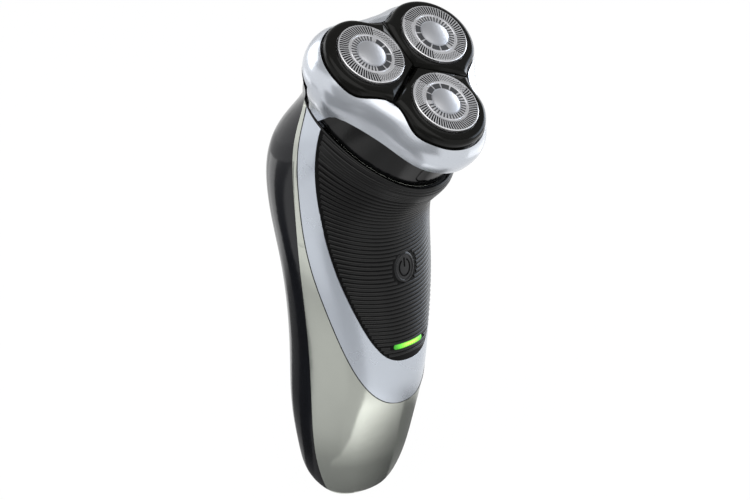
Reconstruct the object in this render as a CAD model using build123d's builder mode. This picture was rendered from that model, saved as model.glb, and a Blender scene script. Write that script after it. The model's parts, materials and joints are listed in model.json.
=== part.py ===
from build123d import *
import os
from math import atan2, cos, hypot, pi, radians, sin, sqrt, tan

# Rotary electric shaver: leaning three-head shaving unit on a contoured handle.
# Millimetres, +Z up, front towards -Y. The origin is the centre of the flat base.
# The shaving unit leans forward: its own plane has x to the right, y up the lean
# and z out of the guards, and levels are measured from the rims of the guards.

os.makedirs("parts", exist_ok=True)

# ---------------------------------------------------------------- shaving unit
head_lean = 36.0            # degrees from level
head_centre_y = -27.5
head_centre_z = 154.2
head_spacing = 26.0         # between the axes of two heads
head_reach = head_spacing / sqrt(3)
head_names = ("front", "right", "left")
head_angles = (-90.0, 30.0, 150.0)

# ---------------------------------------------------------------- body sections
section_points = 30
squareness = 2.25           # exponent of the egg-shaped sections
nose_taper = 0.155          # how much narrower the front is than the back
shoulder_taper = 0.219
foot_taper = 0.083
taper_height = 50.0
shoulder_height = 115.0

base_half_width = 11.4
base_half_depth = 7.2
grip_half_width = 19.7
grip_half_depth = 22.2
shoulder_half_width = 26.3
shoulder_half_depth = 23.2

# height, centre line, lean in degrees, half width, half depth
handle_stations = (
    (0.0, 0.0, 0.0, base_half_width, base_half_depth),
    (3.5, 2.6, 0.0, 13.4, 13.1),
    (12.0, 1.8, 0.0, 16.0, 16.6),
    (27.0, 0.5, 0.0, 18.2, 20.0),
    (46.0, -2.1, 0.0, grip_half_width, grip_half_depth),
    (65.0, -3.2, 3.0, 22.0, 21.5),
    (84.0, -2.3, 10.0, 24.6, 21.2),
    (102.0, 0.0, 20.0, shoulder_half_width, shoulder_half_depth),
    (118.0, -4.1, 29.0, 26.0, 25.2),
)
seam_level = -26.0          # top rim of the handle, parallel to the guards
seam_centre = -1.65
seam_half_width = 22.6
seam_half_depth = 26.7

# shaving unit housing, in even steps from the seam up to the rim:
# share of the three-cornered shape, corner radius, reach of the flanks between corners
rim_level = -2.6
housing_stations = (
    (0.30, 16.0, 23.2),
    (0.70, 16.0, 23.2),
    (1.00, 16.3, 23.1),
    (1.00, 17.1, 23.2),
    (1.00, 16.3, 22.7),
    (1.00, 13.2, 18.3),
)

# ---------------------------------------------------------------- walls and gaps
panel_thickness = 1.3       # trim and grip, laid in the front shell
panel_bed_gap = 0.15
carrier_thickness = 1.25
wall = panel_thickness + panel_bed_gap + carrier_thickness
seam_gap = 0.14             # open line between neighbouring mouldings
seat_gap = 0.25             # inner pieces to the inside of the shells
sliding_gap = 0.2
running_gap = 0.06          # radial, shafts in their holes
floor_thickness = 2.6

# ---------------------------------------------------------------- parting lines
# side view: y and z from the base up
rear_parting = ((1.4, -1.0), (0.9, 30.0), (-1.6, 78.0), (-1.0, 108.0), (-2.0, head_centre_z))
trim_parting = ((-25.5, 35.6), (-22.6, 38.9), (-18.6, 45.7), (-13.2, 59.5), (-9.1, 73.4),
                (-5.6, 86.4), (-3.3, 100.0), (-2.6, 114.0), (-3.1, head_centre_z))
grip_parting = ((-28.5, 53.0), (-25.0, 54.7), (-21.6, 60.2), (-16.6, 74.3), (-12.4, 87.6),
                (-9.5, 100.8), (-8.8, 111.0), (-9.3, 123.5), (-11.0, head_centre_z))

# ---------------------------------------------------------------- neck
neck_inset = 1.35
neck_wall = 1.8
neck_top_level = -14.5
neck_top_centre = -4.1
neck_top_half_width = 20.2
neck_top_half_depth = 23.2
neck_spigot = 5.0

drive_plate_thickness = 1.5
drive_plate_inset = 0.4

# hinge of the shaving unit, at the back of the neck
hinge_reach = 22.6
hinge_level = -14.2
hinge_pin_radius = 0.8
hinge_knuckle_radius = 1.8
hinge_knuckle_width = 9.0
hinge_ear_width = 3.6
hinge_side_gap = 0.25

# ---------------------------------------------------------------- gear train
gear_module = 0.5
pinion_teeth = 29
gear_teeth = 31
gear_backlash = 0.1
gear_bottom_level = -39.5
gear_height = 3.0
gear_plate_thickness = 1.7
gear_plate_gap = 0.5
axle_radius = 1.0
spindle_radius = 1.6
spindle_tip_level = -5.0
spindle_tip_radius = 1.15
spindle_tip_length = 2.2
spindle_foot_radius = 3.2
spindle_foot_height = 1.0
bushing_wall = 1.4
bushing_height = 1.0

motor_radius = 9.5
motor_length = 20.0
motor_shaft_radius = 1.0

# ---------------------------------------------------------------- heads
guard_radius = 10.7
guard_flange_radius = 11.5
guard_skirt = 2.4
guard_flange = 0.8
guard_plate = 0.5
guard_inner_radius = 2.2
guard_wall = 0.5
track_inner_radius = 6.9
track_outer_radius = 10.1
slot_count = 36
slot_width = 0.32
slot_slant = 18.0
groove_depth = 0.2
cap_radius = 5.1
cap_rise = 0.8
cap_seat = 0.15
cap_edge = 0.12
float_travel = 1.0

cutter_gap = 0.12
blade_inner_radius = 7.3
blade_height = 1.5
blade_count = 15
blade_thickness = 0.55
blade_slant = 25.0
cutter_disc = 0.6
cutter_hub_radius = 3.4
cutter_hub_bottom = -6.2
socket_radius = 2.0
socket_roof = 0.5

lobe_radius = 14.2
lobe_notch = 17.4
lobe_top_level = -1.2
lobe_bottom_level = -6.5
lobe_edge_radius = 1.7
lobe_gap = 0.7
groove_half_width = 1.1       # of the valley between two heads, at the top
guard_hole_gap = 0.2
rocker_reach = 2.4          # pivot of a head frame, from the centre of the unit
rocker_level = -8.1
rocker_pin_radius = 0.7
rocker_lug_radius = 1.2
rocker_lug_width = 2.5
rocker_pin_length = 4.6
rocker_post_radius = 4.2
rocker_post_top = -6.9
retainer_top_level = -5.2
retainer_thickness = 0.9

# ---------------------------------------------------------------- housing
pocket_radius = 14.75
pocket_notch = 17.95
cavity_top_level = -7.0
housing_wall = 1.4
housing_edge_level = -13.5
wing_tip_level = -24.6
wing_front = 0.5
wing_back = 10.3
frame_top_level = -9.7
frame_thickness = 1.2
frame_hub_radius = 5.6
frame_arm_width = 5.0
frame_ledge = 1.0

# ---------------------------------------------------------------- front controls
button_height = 85.6
button_half_width = 4.15
button_half_height = 4.9
button_gap = 0.15
button_flange = 0.9
button_flange_thickness = 0.9
button_travel = 0.6
button_stem_radius = 1.5

lens_height = 59.9
lens_length = 10.0
lens_width = 2.0
lens_bow = 40.0
light_pipe_length = 7.0
light_pipe_gap = 0.3

release_level = -20.4
release_width = 15.0
release_height = 6.4
release_flange = 0.8
release_travel = 1.0

# ---------------------------------------------------------------- inside the handle
board_front = -13.4
board_thickness = 1.6
board_width = 20.0
board_bottom = 30.0
board_top = 96.0
board_post_radius = 1.8
switch_size = 6.0
switch_height = 3.1
plunger_radius = 1.7
plunger_height = 0.5
led_size = 2.4
led_height = 1.2

chassis_back = -7.2
chassis_thickness = 1.8
chassis_bottom = 15.0
chassis_top = 99.0
chassis_width = 27.0
battery_radius = 7.1
battery_length = 49.0
battery_centre = 5.0
battery_bottom = 33.0
cradle_width = 6.0
cradle_wall = 1.4
tab_thickness = 0.4

# ---------------------------------------------------------------- charging socket
socket_length = 12.0
socket_width = 7.0
socket_depth = 11.0
socket_wall = 1.2
pin_radius = 0.8
pin_spacing = 5.0
pin_recess = 4.8
pin_tail = 4.0

# ---------------------------------------------------------------- pop-up trimmer
trimmer_height = 133.0
trimmer_half_width = 9.8
trimmer_up = 8.8
trimmer_down = 10.2
trimmer_gap = 0.25
trimmer_cover_thickness = 2.0
trimmer_depth = 4.8
trimmer_floor = 1.0
trimmer_axis_down = 7.9
trimmer_axis_depth = 2.6
trimmer_heel_radius = 1.95
trimmer_pin_radius = 0.7
trimmer_pin_length = 1.3
comb_depth = 3.1
comb_thickness = 0.5
comb_width = 16.0
comb_length = 6.5
comb_teeth = 11
tooth_length = 2.0
blade_gap = 0.05
trimmer_blade_thickness = 0.4
trimmer_stroke = 0.7

slide_height = 109.0
slide_width = 9.0
slide_length = 6.0
slide_travel = 3.0
slide_pocket = 0.9
slide_rise = 0.7
slide_stem = 3.0


# ================================================================ frames
lean = radians(head_lean)
head_normal = Vector(0, -sin(lean), cos(lean))
head_centre = Vector(0, head_centre_y, head_centre_z)


def head_plane(level=0.0):
    """Plane parallel to the guards, at a level measured from their rims."""
    return Plane(origin=head_centre + head_normal * level, x_dir=(1, 0, 0), z_dir=head_normal)


def lobe_plane(angle, level=0.0):
    """Plane on the axis of one head, with x pointing away from the unit's centre."""
    base = head_plane(level)
    out = base.x_dir * cos(radians(angle)) + base.y_dir * sin(radians(angle))
    return Plane(origin=base.origin + out * head_reach, x_dir=out, z_dir=head_normal)


def centre_plane(angle, level=0.0):
    """Plane on the unit's centre line, with x pointing towards one head."""
    base = head_plane(level)
    out = base.x_dir * cos(radians(angle)) + base.y_dir * sin(radians(angle))
    return Plane(origin=base.origin, x_dir=out, z_dir=head_normal)


# ================================================================ sections
def egg_outline(half_width, half_depth, taper, inset=0.0):
    """Closed egg shape, narrower at the front (-y), as points from the back round."""
    width, depth = half_width - inset, half_depth - inset
    points = []
    for step in range(section_points):
        angle = pi / 2 + 2 * pi * step / section_points
        c, s = cos(angle), sin(angle)
        reach = (abs(c / width) ** squareness + abs(s / depth) ** squareness) ** (-1 / squareness)
        points.append((reach * c * (1 + taper * reach * s / depth), reach * s))
    return points


def trilobe_outline(corner_radius, notch):
    """Three round corners about the head axes, joined by hollow flanks through the notches."""
    across, along = head_reach * sin(pi / 3), head_reach * cos(pi / 3)
    depth = notch - along
    flank_radius = (depth ** 2 + across ** 2 - corner_radius ** 2) / (2 * (corner_radius - depth))
    flank_reach = notch + flank_radius
    flank_x, flank_y = flank_reach * cos(pi / 3), flank_reach * sin(pi / 3)
    share = corner_radius / hypot(flank_x - head_reach, flank_y)
    tangent_angle = atan2(flank_y * share, head_reach + (flank_x - head_reach) * share)
    points = []
    for step in range(section_points):
        angle = pi / 2 + 2 * pi * step / section_points
        turn = (angle + pi / 2 + pi / 3) % (2 * pi / 3) - pi / 3
        if abs(turn) <= tangent_angle:
            reach = head_reach * cos(turn) + sqrt(corner_radius ** 2 - (head_reach * sin(turn)) ** 2)
        else:
            off = pi / 3 - abs(turn)
            reach = flank_reach * cos(off) - sqrt(flank_radius ** 2 - (flank_reach * sin(off)) ** 2)
        points.append((reach * cos(angle), reach * sin(angle)))
    return points


def lofted(sections):
    """Smooth solid through closed outlines, each given with its plane."""
    with BuildPart() as form:
        for plane, points in sections:
            with BuildSketch(plane):
                with BuildLine():
                    Spline(*points, periodic=True)
                make_face()
        loft()
    return form.part


def taper_at(height):
    """Nose taper of the handle's section at a height."""
    if height < taper_height:
        return foot_taper + (nose_taper - foot_taper) * height / taper_height
    rise = min(1.0, (height - taper_height) / (shoulder_height - taper_height))
    return nose_taper + (shoulder_taper - nose_taper) * rise


def handle_sections(inset):
    sections = []
    for height, centre, station_lean, half_width, half_depth in handle_stations:
        turn = radians(station_lean)
        level = floor_thickness * inset / wall if height == 0 else height
        plane = Plane(origin=(0, centre, level), x_dir=(1, 0, 0), z_dir=(0, -sin(turn), cos(turn)))
        sections.append((plane, egg_outline(half_width, half_depth, taper_at(height), inset)))
    sections.append((seam_plane(seam_level), seam_outline(inset)))
    return sections


def seam_plane(level):
    base = head_plane(level)
    return Plane(origin=base.origin + base.y_dir * seam_centre, x_dir=(1, 0, 0), z_dir=head_normal)


def seam_outline(inset):
    return egg_outline(seam_half_width, seam_half_depth, shoulder_taper, inset)


def handle_form(inset):
    """Handle up to the neck seam, drawn in by an inset."""
    return lofted(handle_sections(inset))


def housing_form(inset):
    """Shaving unit from the neck seam up to its rim, drawn in by an inset."""
    sections = [(head_plane(seam_level), [(x, y + seam_centre) for x, y in seam_outline(inset)])]
    step = (rim_level - seam_level) / len(housing_stations)
    for index, (share, corner, notch) in enumerate(housing_stations, start=1):
        lobes = trilobe_outline(corner - inset, notch - inset)
        blend = [(x * (1 - share) + u * share, y * (1 - share) + v * share)
                 for (x, y), (u, v) in zip(sections[0][1], lobes)]
        sections.append((head_plane(seam_level + step * index), blend))
    return lofted(sections)


def slab(low, high, plane_at=head_plane, reach=60.0):
    """Everything between two levels of the shaving unit."""
    with BuildPart() as solid:
        with BuildSketch(plane_at(low)):
            Rectangle(2 * reach, 2 * reach)
        extrude(amount=high - low)
    return solid.part


def in_front_of(parting, shift):
    """Everything in front of a parting line, which is moved back by a shift."""
    points = [(y + shift, z) for y, z in parting]
    reach = 90.0
    with BuildPart() as solid:
        with BuildSketch(Plane.YZ):
            with BuildLine():
                Spline(*points)
                Polyline(points[-1], (points[-1][0], head_centre_z + reach), (-reach, head_centre_z + reach),
                         (-reach, -reach), (points[0][0], -reach), points[0])
            make_face()
        extrude(amount=reach, both=True)
    return solid.part


def skin_point(height, forward=True):
    """Point where the outside of the handle is met at a height on the centre plane."""
    direction = -1 if forward else 1
    hits = outer_form.find_intersection_points(Axis((0, 0, height), (0, direction, 0)))
    points = [hit[0] for hit in hits]
    return max(points, key=lambda point: direction * point.Y)


# ================================================================ master forms
outer_form = handle_form(0.0)
panel_form = handle_form(panel_thickness)
bed_form = handle_form(panel_thickness + panel_bed_gap)
inner_form = handle_form(wall)
seat_form = handle_form(wall + seat_gap)
housing_outer = housing_form(0.0)
housing_back_inner = housing_form(panel_thickness)

button_skin = skin_point(button_height)
lens_skin = skin_point(lens_height)
trimmer_skin = skin_point(trimmer_height, forward=False)
slide_skin = skin_point(slide_height, forward=False)


def oval(plane, half_width, half_height, length):
    with BuildPart() as solid:
        with BuildSketch(plane):
            Ellipse(half_width, half_height)
        extrude(amount=length)
    return solid.part


def joined(*pieces):
    """One solid from pieces that share volume."""
    with BuildPart() as solid:
        for piece in pieces:
            add(piece)
    return solid.part


def trimmed(body, *cutters):
    """A body with other solids taken out of it."""
    with BuildPart() as solid:
        add(body)
        for cutter in cutters:
            add(cutter, mode=Mode.SUBTRACT)
    return solid.part


def common(body, *limits):
    """The part of a body that lies inside every one of the limits."""
    with BuildPart() as solid:
        add(body)
        for limit in limits:
            add(limit, mode=Mode.INTERSECT)
    return solid.part


def save(solid, name):
    solid.label = name
    export_step(solid, f"parts/{name}.step")
    return solid


# ================================================================ openings in the shells
def facing(height, y, x=0.0):
    """Plane across the front of the handle that looks back into it; its y runs down."""
    return Plane(origin=(x, y, height), x_dir=(1, 0, 0), z_dir=(0, 1, 0))


front_reach = 60.0


def lens_bar(length, width, start, depth):
    """Bar that bows downwards, run back into the handle."""
    with BuildPart() as solid:
        with BuildSketch(facing(lens_height, start)):
            with BuildLine(mode=Mode.PRIVATE) as bow:
                CenterArc((0, -lens_bow), lens_bow, 90 - length / lens_bow * 90 / pi,
                          length / lens_bow * 180 / pi)
            SlotArc(bow.edges()[0], width)
        extrude(amount=depth)
    return solid.part


# ================================================================ shells of the handle
side_plane = Plane(origin=head_centre, x_dir=head_plane().y_dir, z_dir=(1, 0, 0))


def side_prism(points, half_width=60.0, rounding=0.0, rounded=None):
    """Outline drawn on the side view of the shaving unit (up the lean, level), run across it."""
    with BuildPart() as solid:
        with BuildSketch(side_plane):
            with BuildLine():
                Polyline(*points, close=True)
            make_face()
            if rounding:
                fillet(vertices().filter_by(rounded), rounding)
        extrude(amount=half_width, both=True)
    return solid.part


def back_plane(point, height):
    """Plane on the back of the handle: x towards -X, y up the surface, z outwards."""
    hits = outer_form.find_intersection_points(Axis((0, 0, height), (0, 1, 0)))
    outward = max(hits, key=lambda hit: hit[0].Y)[1]
    return Plane(origin=point, x_dir=(-1, 0, 0), z_dir=(0, abs(outward.Y), outward.Z))


def block(plane, x, y, z, centred_x=True):
    """Box between limits measured on a plane."""
    low_x, high_x = (-x, x) if centred_x else x
    with BuildPart() as solid:
        with BuildSketch(plane.offset(z[0])):
            with Locations(((low_x + high_x) / 2, (y[0] + y[1]) / 2)):
                Rectangle(high_x - low_x, y[1] - y[0])
        extrude(amount=z[1] - z[0])
    return solid.part


def rod(plane, radius, length, x=0.0, y=0.0):
    with BuildPart() as solid:
        with BuildSketch(plane):
            with Locations((x, y)):
                Circle(radius)
        extrude(amount=length)
    return solid.part


trimmer_plane = Plane(origin=trimmer_skin, x_dir=(-1, 0, 0), z_dir=head_plane().y_dir)
slide_plane = back_plane(slide_skin, slide_height)
trimmer_across = Plane(origin=trimmer_plane.origin - trimmer_plane.y_dir * trimmer_axis_down
                       - trimmer_plane.z_dir * trimmer_axis_depth, x_dir=trimmer_plane.y_dir, z_dir=(-1, 0, 0))

rear_zone = in_front_of(rear_parting, seam_gap / 2)
front_zone = in_front_of(rear_parting, -seam_gap / 2)
shell = trimmed(outer_form, inner_form)
skin = trimmed(outer_form, panel_form)

# mouth of the charging socket, through the floor
socket_outer_length = socket_length + 2 * socket_wall
socket_outer_width = socket_width + 2 * socket_wall
socket_height = socket_depth + socket_wall
with BuildPart() as socket_opening:
    with BuildSketch(Plane.XY):
        SlotOverall(socket_outer_length + 2 * seam_gap, socket_outer_width + 2 * seam_gap)
    extrude(amount=socket_height)

# rear shell: gloss back half that also rises behind the shaving unit
shoulder_front = wing_back + 3.0
shoulder_drop = hinge_level - hinge_knuckle_radius - 0.7
shoulder_zone = side_prism([
    (shoulder_front, seam_level), (shoulder_front + 0.5, housing_edge_level - 0.7),
    (hinge_reach - 5.0, housing_edge_level - 0.7), (hinge_reach - 2.2, shoulder_drop),
    (hinge_reach + 20.0, shoulder_drop), (hinge_reach + 20.0, seam_level)])
shoulder = common(trimmed(housing_outer, housing_back_inner), shoulder_zone)
pad_depth = trimmer_depth + trimmer_floor
pad_rim = 1.9
trimmer_pad = common(
    block(trimmer_plane, trimmer_half_width + trimmer_gap + wall,
          (-trimmer_down - wall, trimmer_up + trimmer_gap + pad_rim),
          (-pad_depth, pad_depth)), outer_form)
trimmer_recess = block(trimmer_plane, trimmer_half_width + trimmer_gap,
                       (-trimmer_down, trimmer_up + trimmer_gap), (-trimmer_depth, pad_depth))
trimmer_pin_span = trimmer_half_width + trimmer_pin_length + trimmer_gap
trimmer_bore = rod(trimmer_across.offset(-trimmer_pin_span), trimmer_pin_radius + running_gap,
                   2 * trimmer_pin_span)
slide_room = block(slide_plane, slide_width / 2 + sliding_gap,
                   (-slide_length / 2 - sliding_gap, slide_length / 2 + slide_travel + sliding_gap),
                   (-slide_pocket, wall))
slide_slot = block(slide_plane, slide_stem / 2 + sliding_gap,
                   (-slide_stem / 2 - sliding_gap, slide_stem / 2 + slide_travel + sliding_gap),
                   (-2 * wall, wall))
rear_shell = trimmed(joined(trimmed(shell, rear_zone), shoulder, trimmer_pad),
                     trimmer_recess, trimmer_bore, slide_room, slide_slot, socket_opening.part)
save(rear_shell, "rear_shell")

# front shell: carries the trim and the grip in a bed one panel deep
button_hole = oval(facing(button_height, -front_reach), button_half_width + button_gap,
                   button_half_height + button_gap, front_reach + board_front)
lens_hole = lens_bar(lens_length, lens_width + button_gap, -front_reach, front_reach + board_front)
panel_bed = trimmed(in_front_of(trim_parting, seam_gap / 2), bed_form)
front_shell = trimmed(common(shell, front_zone), panel_bed, button_hole, lens_hole, socket_opening.part)
save(front_shell, "front_shell")

trim_band = trimmed(common(skin, in_front_of(trim_parting, -seam_gap / 2)),
                    in_front_of(grip_parting, seam_gap / 2))
save(trim_band, "trim_band")

grip_panel = trimmed(common(skin, in_front_of(grip_parting, -seam_gap / 2)), button_hole, lens_hole)
save(grip_panel, "grip_panel")

# ================================================================ neck


def collar_form(inset, low_level, low_inset):
    top = Plane(origin=head_plane(neck_top_level).origin + head_plane().y_dir * neck_top_centre,
                x_dir=(1, 0, 0), z_dir=head_normal)
    return lofted([(seam_plane(low_level), seam_outline(low_inset)),
                   (top, egg_outline(neck_top_half_width, neck_top_half_depth, shoulder_taper, inset))])


collar_outer = collar_form(0.0, seam_level, neck_inset)
collar_inner = collar_form(neck_wall, seam_level, neck_inset + neck_wall)
spigot = common(seat_form, slab(seam_level - neck_spigot, seam_level))
spigot_inner = lofted([(seam_plane(seam_level - neck_spigot - 1), seam_outline(wall + 1.6)),
                       (seam_plane(seam_level), seam_outline(neck_inset + neck_wall))])
release_hole_plane = Plane(origin=head_plane(release_level).origin - head_plane().y_dir * 60,
                           x_dir=(1, 0, 0), z_dir=head_plane().y_dir)


def release_prism(grow, reach):
    with BuildPart() as solid:
        with BuildSketch(release_hole_plane):
            RectangleRounded(release_width + 2 * grow, release_height + 2 * grow, release_height / 3)
        extrude(amount=reach)
    return solid.part


neck_collar = trimmed(joined(collar_outer, spigot),
                      collar_inner, spigot_inner, release_prism(button_gap, 55.0))
save(neck_collar, "neck_collar")

# release button: sits in the front of the collar, held by a flange behind its wall
front_of_collar = seam_half_depth - seam_centre - neck_inset
release_back = front_reach - front_of_collar + 6.0
release_face = common(release_prism(0.0, release_back), collar_outer)
collar_seat = collar_form(neck_wall + sliding_gap, seam_level, neck_inset + neck_wall + sliding_gap)
release_base = common(release_prism(release_flange, release_back), collar_seat)
save(joined(release_face, release_base), "release_button")

# ================================================================ drive plate and hinge
hinge_line = Plane(origin=head_plane(hinge_level).origin + head_plane().y_dir * hinge_reach,
                   x_dir=head_plane().y_dir, z_dir=(1, 0, 0))
hinge_half = hinge_knuckle_width / 2
hinge_span = hinge_half + hinge_side_gap + hinge_ear_width


def across_hinge(radius, low, high):
    return rod(hinge_line.offset(low), radius, high - low)


def neck_top_prism(inset, height, lift=0.0):
    """Outline of the top of the neck, run outwards from a lift above it."""
    plane = Plane(origin=head_plane(neck_top_level + lift).origin + head_plane().y_dir * neck_top_centre,
                  x_dir=(1, 0, 0), z_dir=head_normal)
    outline = egg_outline(neck_top_half_width, neck_top_half_depth, shoulder_taper, inset)
    with BuildPart() as solid:
        with BuildSketch(plane):
            with BuildLine():
                Spline(*outline, periodic=True)
            make_face()
        extrude(amount=height)
    return solid.part


plate_top = neck_top_level + drive_plate_thickness
neck_back = neck_top_centre + neck_top_half_depth
hinge_arm = side_prism([(neck_back - 3, neck_top_level), (hinge_reach, neck_top_level),
                        (hinge_reach, plate_top), (neck_back - 3, plate_top)], hinge_half)
bushings = [rod(lobe_plane(angle, plate_top - 0.2), spindle_radius + running_gap + bushing_wall,
                bushing_height + 0.2) for angle in head_angles]
bushing_bores = [rod(lobe_plane(angle, neck_top_level - 1), spindle_radius + running_gap, 6.0)
                 for angle in head_angles]
drive_plate = trimmed(joined(neck_top_prism(drive_plate_inset, drive_plate_thickness), hinge_arm,
                             across_hinge(hinge_knuckle_radius, -hinge_half, hinge_half), *bushings),
                      across_hinge(hinge_pin_radius + 0.02, -hinge_half, hinge_half), *bushing_bores)
save(drive_plate, "drive_plate")
save(across_hinge(hinge_pin_radius, -hinge_span, hinge_span), "hinge_pin")

seal_height = 0.7
neck_seal = trimmed(neck_top_prism(drive_plate_inset + 0.5, seal_height, drive_plate_thickness),
                    neck_top_prism(drive_plate_inset + 1.9, seal_height, drive_plate_thickness))
save(neck_seal, "neck_seal")


# ================================================================ gear train
def gear_outline(teeth):
    """Straight-flanked teeth; the first tooth is centred on the x axis."""
    pitch_radius = gear_module * teeth / 2
    tip, root = pitch_radius + 0.8 * gear_module, pitch_radius - 1.05 * gear_module
    half = (pi * gear_module / 2 - gear_backlash) / 2
    points = []
    for tooth in range(teeth):
        for radius, side in ((root, -1), (tip, -1), (tip, 1), (root, 1)):
            width = half + (pitch_radius - radius) * tan(radians(20))
            angle = 2 * pi * tooth / teeth + side * width / radius
            points.append((radius * cos(angle), radius * sin(angle)))
    return points


def turned(plane, angle):
    """A plane turned in itself."""
    x_dir = plane.x_dir * cos(radians(angle)) + plane.y_dir * sin(radians(angle))
    return Plane(origin=plane.origin, x_dir=x_dir, z_dir=plane.z_dir)


def spur_gear(plane, teeth, bore_radius, bore_depth):
    with BuildPart() as gear:
        with BuildSketch(plane):
            with BuildLine():
                Polyline(*gear_outline(teeth), close=True)
            make_face()
        extrude(amount=gear_height)
        with BuildSketch(plane):
            Circle(bore_radius)
        extrude(amount=bore_depth, mode=Mode.SUBTRACT)
    return gear.part


gear_top = gear_bottom_level + gear_height
gear_plate_top = gear_bottom_level - gear_plate_gap
gear_plate_bottom = gear_plate_top - gear_plate_thickness
trimmer_room = block(trimmer_plane, trimmer_half_width + trimmer_gap + wall + seat_gap,
                     (-trimmer_down - wall - seat_gap, trimmer_up + wall + seat_gap),
                     (-pad_depth - seat_gap, 2 * pad_depth))
gear_axles = [rod(lobe_plane(angle, gear_plate_top - 0.5), axle_radius, gear_plate_gap + gear_height - 0.3)
              for angle in head_angles]
motor_screw_reach = 6.5
screw_thread_radius = 0.8
screw_head_radius = 1.5
screw_bore = screw_thread_radius + 0.02
motor_screw_places = ((motor_screw_reach, 0), (-motor_screw_reach, 0))
gear_plate = trimmed(joined(common(inner_form, slab(gear_plate_bottom, gear_plate_top)), *gear_axles),
                     rod(head_plane(gear_plate_bottom - 1), motor_shaft_radius + 0.6, 6), trimmer_room,
                     *[rod(head_plane(gear_plate_bottom - 1), screw_bore, 6, x, y) for x, y in motor_screw_places],
                     *[rod(head_plane(gear_plate_top - 0.7), screw_head_radius + 0.1, 2, x, y)
                       for x, y in motor_screw_places])
save(gear_plate, "gear_plate")

shaft_depth = 3.0           # of the output shaft in the motor
motor_bottom = gear_plate_bottom - motor_length
with BuildPart() as motor:
    with BuildSketch(head_plane(motor_bottom)):
        Circle(motor_radius)
    extrude(amount=motor_length)
    fillet(motor.edges().group_by(Axis(head_centre, head_normal))[0], 1.2)
    with BuildSketch(head_plane(motor_bottom)):
        Circle(2.6)
    extrude(amount=-1.4)
    with BuildSketch(head_plane(motor_bottom)):
        with Locations((5.2, 0), (-5.2, 0)):
            Rectangle(0.5, 2.2)
    extrude(amount=-2.6)
    with BuildSketch(head_plane(gear_plate_bottom)):
        Circle(motor_shaft_radius + running_gap)
        with Locations(*motor_screw_places):
            Circle(screw_bore)
    extrude(amount=-shaft_depth - 0.4, mode=Mode.SUBTRACT)
save(motor.part, "motor")

with BuildPart() as motor_screws:
    with BuildSketch(head_plane(gear_plate_top - 0.7)):
        with Locations(*motor_screw_places):
            Circle(screw_head_radius)
    extrude(amount=0.6)
    with BuildSketch(head_plane(gear_plate_top - 0.7)):
        with Locations(*motor_screw_places):
            Circle(screw_thread_radius)
    extrude(amount=-3.4)
save(motor_screws.part, "motor_screws")

save(rod(head_plane(gear_plate_bottom - shaft_depth), motor_shaft_radius,
         gear_top + 0.8 - gear_plate_bottom + shaft_depth), "motor_shaft")
save(spur_gear(head_plane(gear_bottom_level), pinion_teeth, motor_shaft_radius + 0.01, gear_height),
     "motor_pinion")

pinion_pitch = 360 / pinion_teeth
spindle_shoulder = spindle_tip_level - spindle_tip_length
for name, angle in zip(head_names, head_angles):
    # the pinion tooth nearest to this gear says where the gear must have a gap
    offset = pinion_pitch * round(angle / pinion_pitch) - angle
    gap_angle = 180 - offset * pinion_teeth / gear_teeth
    save(spur_gear(turned(lobe_plane(angle, gear_bottom_level), gap_angle + 180 / gear_teeth), gear_teeth,
                   axle_radius + running_gap, gear_height - 0.2), f"drive_gear_{name}")

    with BuildPart() as drive_spindle:
        with BuildSketch(lobe_plane(angle, gear_top)):
            Circle(spindle_foot_radius)
        extrude(amount=spindle_foot_height)
        with BuildSketch(lobe_plane(angle, gear_top)):
            Circle(spindle_radius)
        extrude(amount=spindle_shoulder - gear_top)
        with BuildSketch(lobe_plane(angle, spindle_shoulder - 0.5)):
            RegularPolygon(spindle_tip_radius, 6)
        extrude(amount=spindle_tip_length + 0.5)
    save(drive_spindle.part, f"drive_spindle_{name}")

# ================================================================ shaving unit housing
wing_zone = side_prism(
    [(-60, 10), (-60, housing_edge_level), (wing_front - 4.7, housing_edge_level),
     (wing_front - 2.0, housing_edge_level - 0.75), (wing_front - 0.2, housing_edge_level - 2.8),
     (wing_front + 3.8, wing_tip_level), (wing_back - 0.6, wing_tip_level),
     (wing_back, housing_edge_level + 0.3), (60, housing_edge_level + 0.9), (60, 10)],
    rounding=1.9, rounded=lambda corner: corner.Y < 20 and corner.Y > -60 and abs(
        (corner.Y - head_centre_y) * cos(lean) + (corner.Z - head_centre_z) * sin(lean)) < 30)


def trilobe_prism(corner_radius, notch, low, high):
    with BuildPart() as solid:
        with BuildSketch(head_plane(low)):
            with BuildLine():
                Spline(*trilobe_outline(corner_radius, notch), periodic=True)
            make_face()
        extrude(amount=high - low)
    return solid.part


cavity = common(housing_form(housing_wall), slab(seam_level - 5, cavity_top_level))
pocket = trilobe_prism(pocket_radius, pocket_notch, cavity_top_level - 0.5, 3.0)
hinge_room = across_hinge(hinge_knuckle_radius + 0.4, -hinge_span - 0.3, hinge_span + 0.3)
hinge_ears = []
for low, high in ((-hinge_span, -hinge_half - hinge_side_gap), (hinge_half + hinge_side_gap, hinge_span)):
    hinge_ears.append(across_hinge(hinge_knuckle_radius, low, high))
    web = block(Plane(origin=hinge_line.origin, x_dir=(1, 0, 0), z_dir=head_normal), (low, high),
                (-1.3, 0.9), (0, 4.5), centred_x=False)
    hinge_ears.append(common(web, housing_outer))

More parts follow.
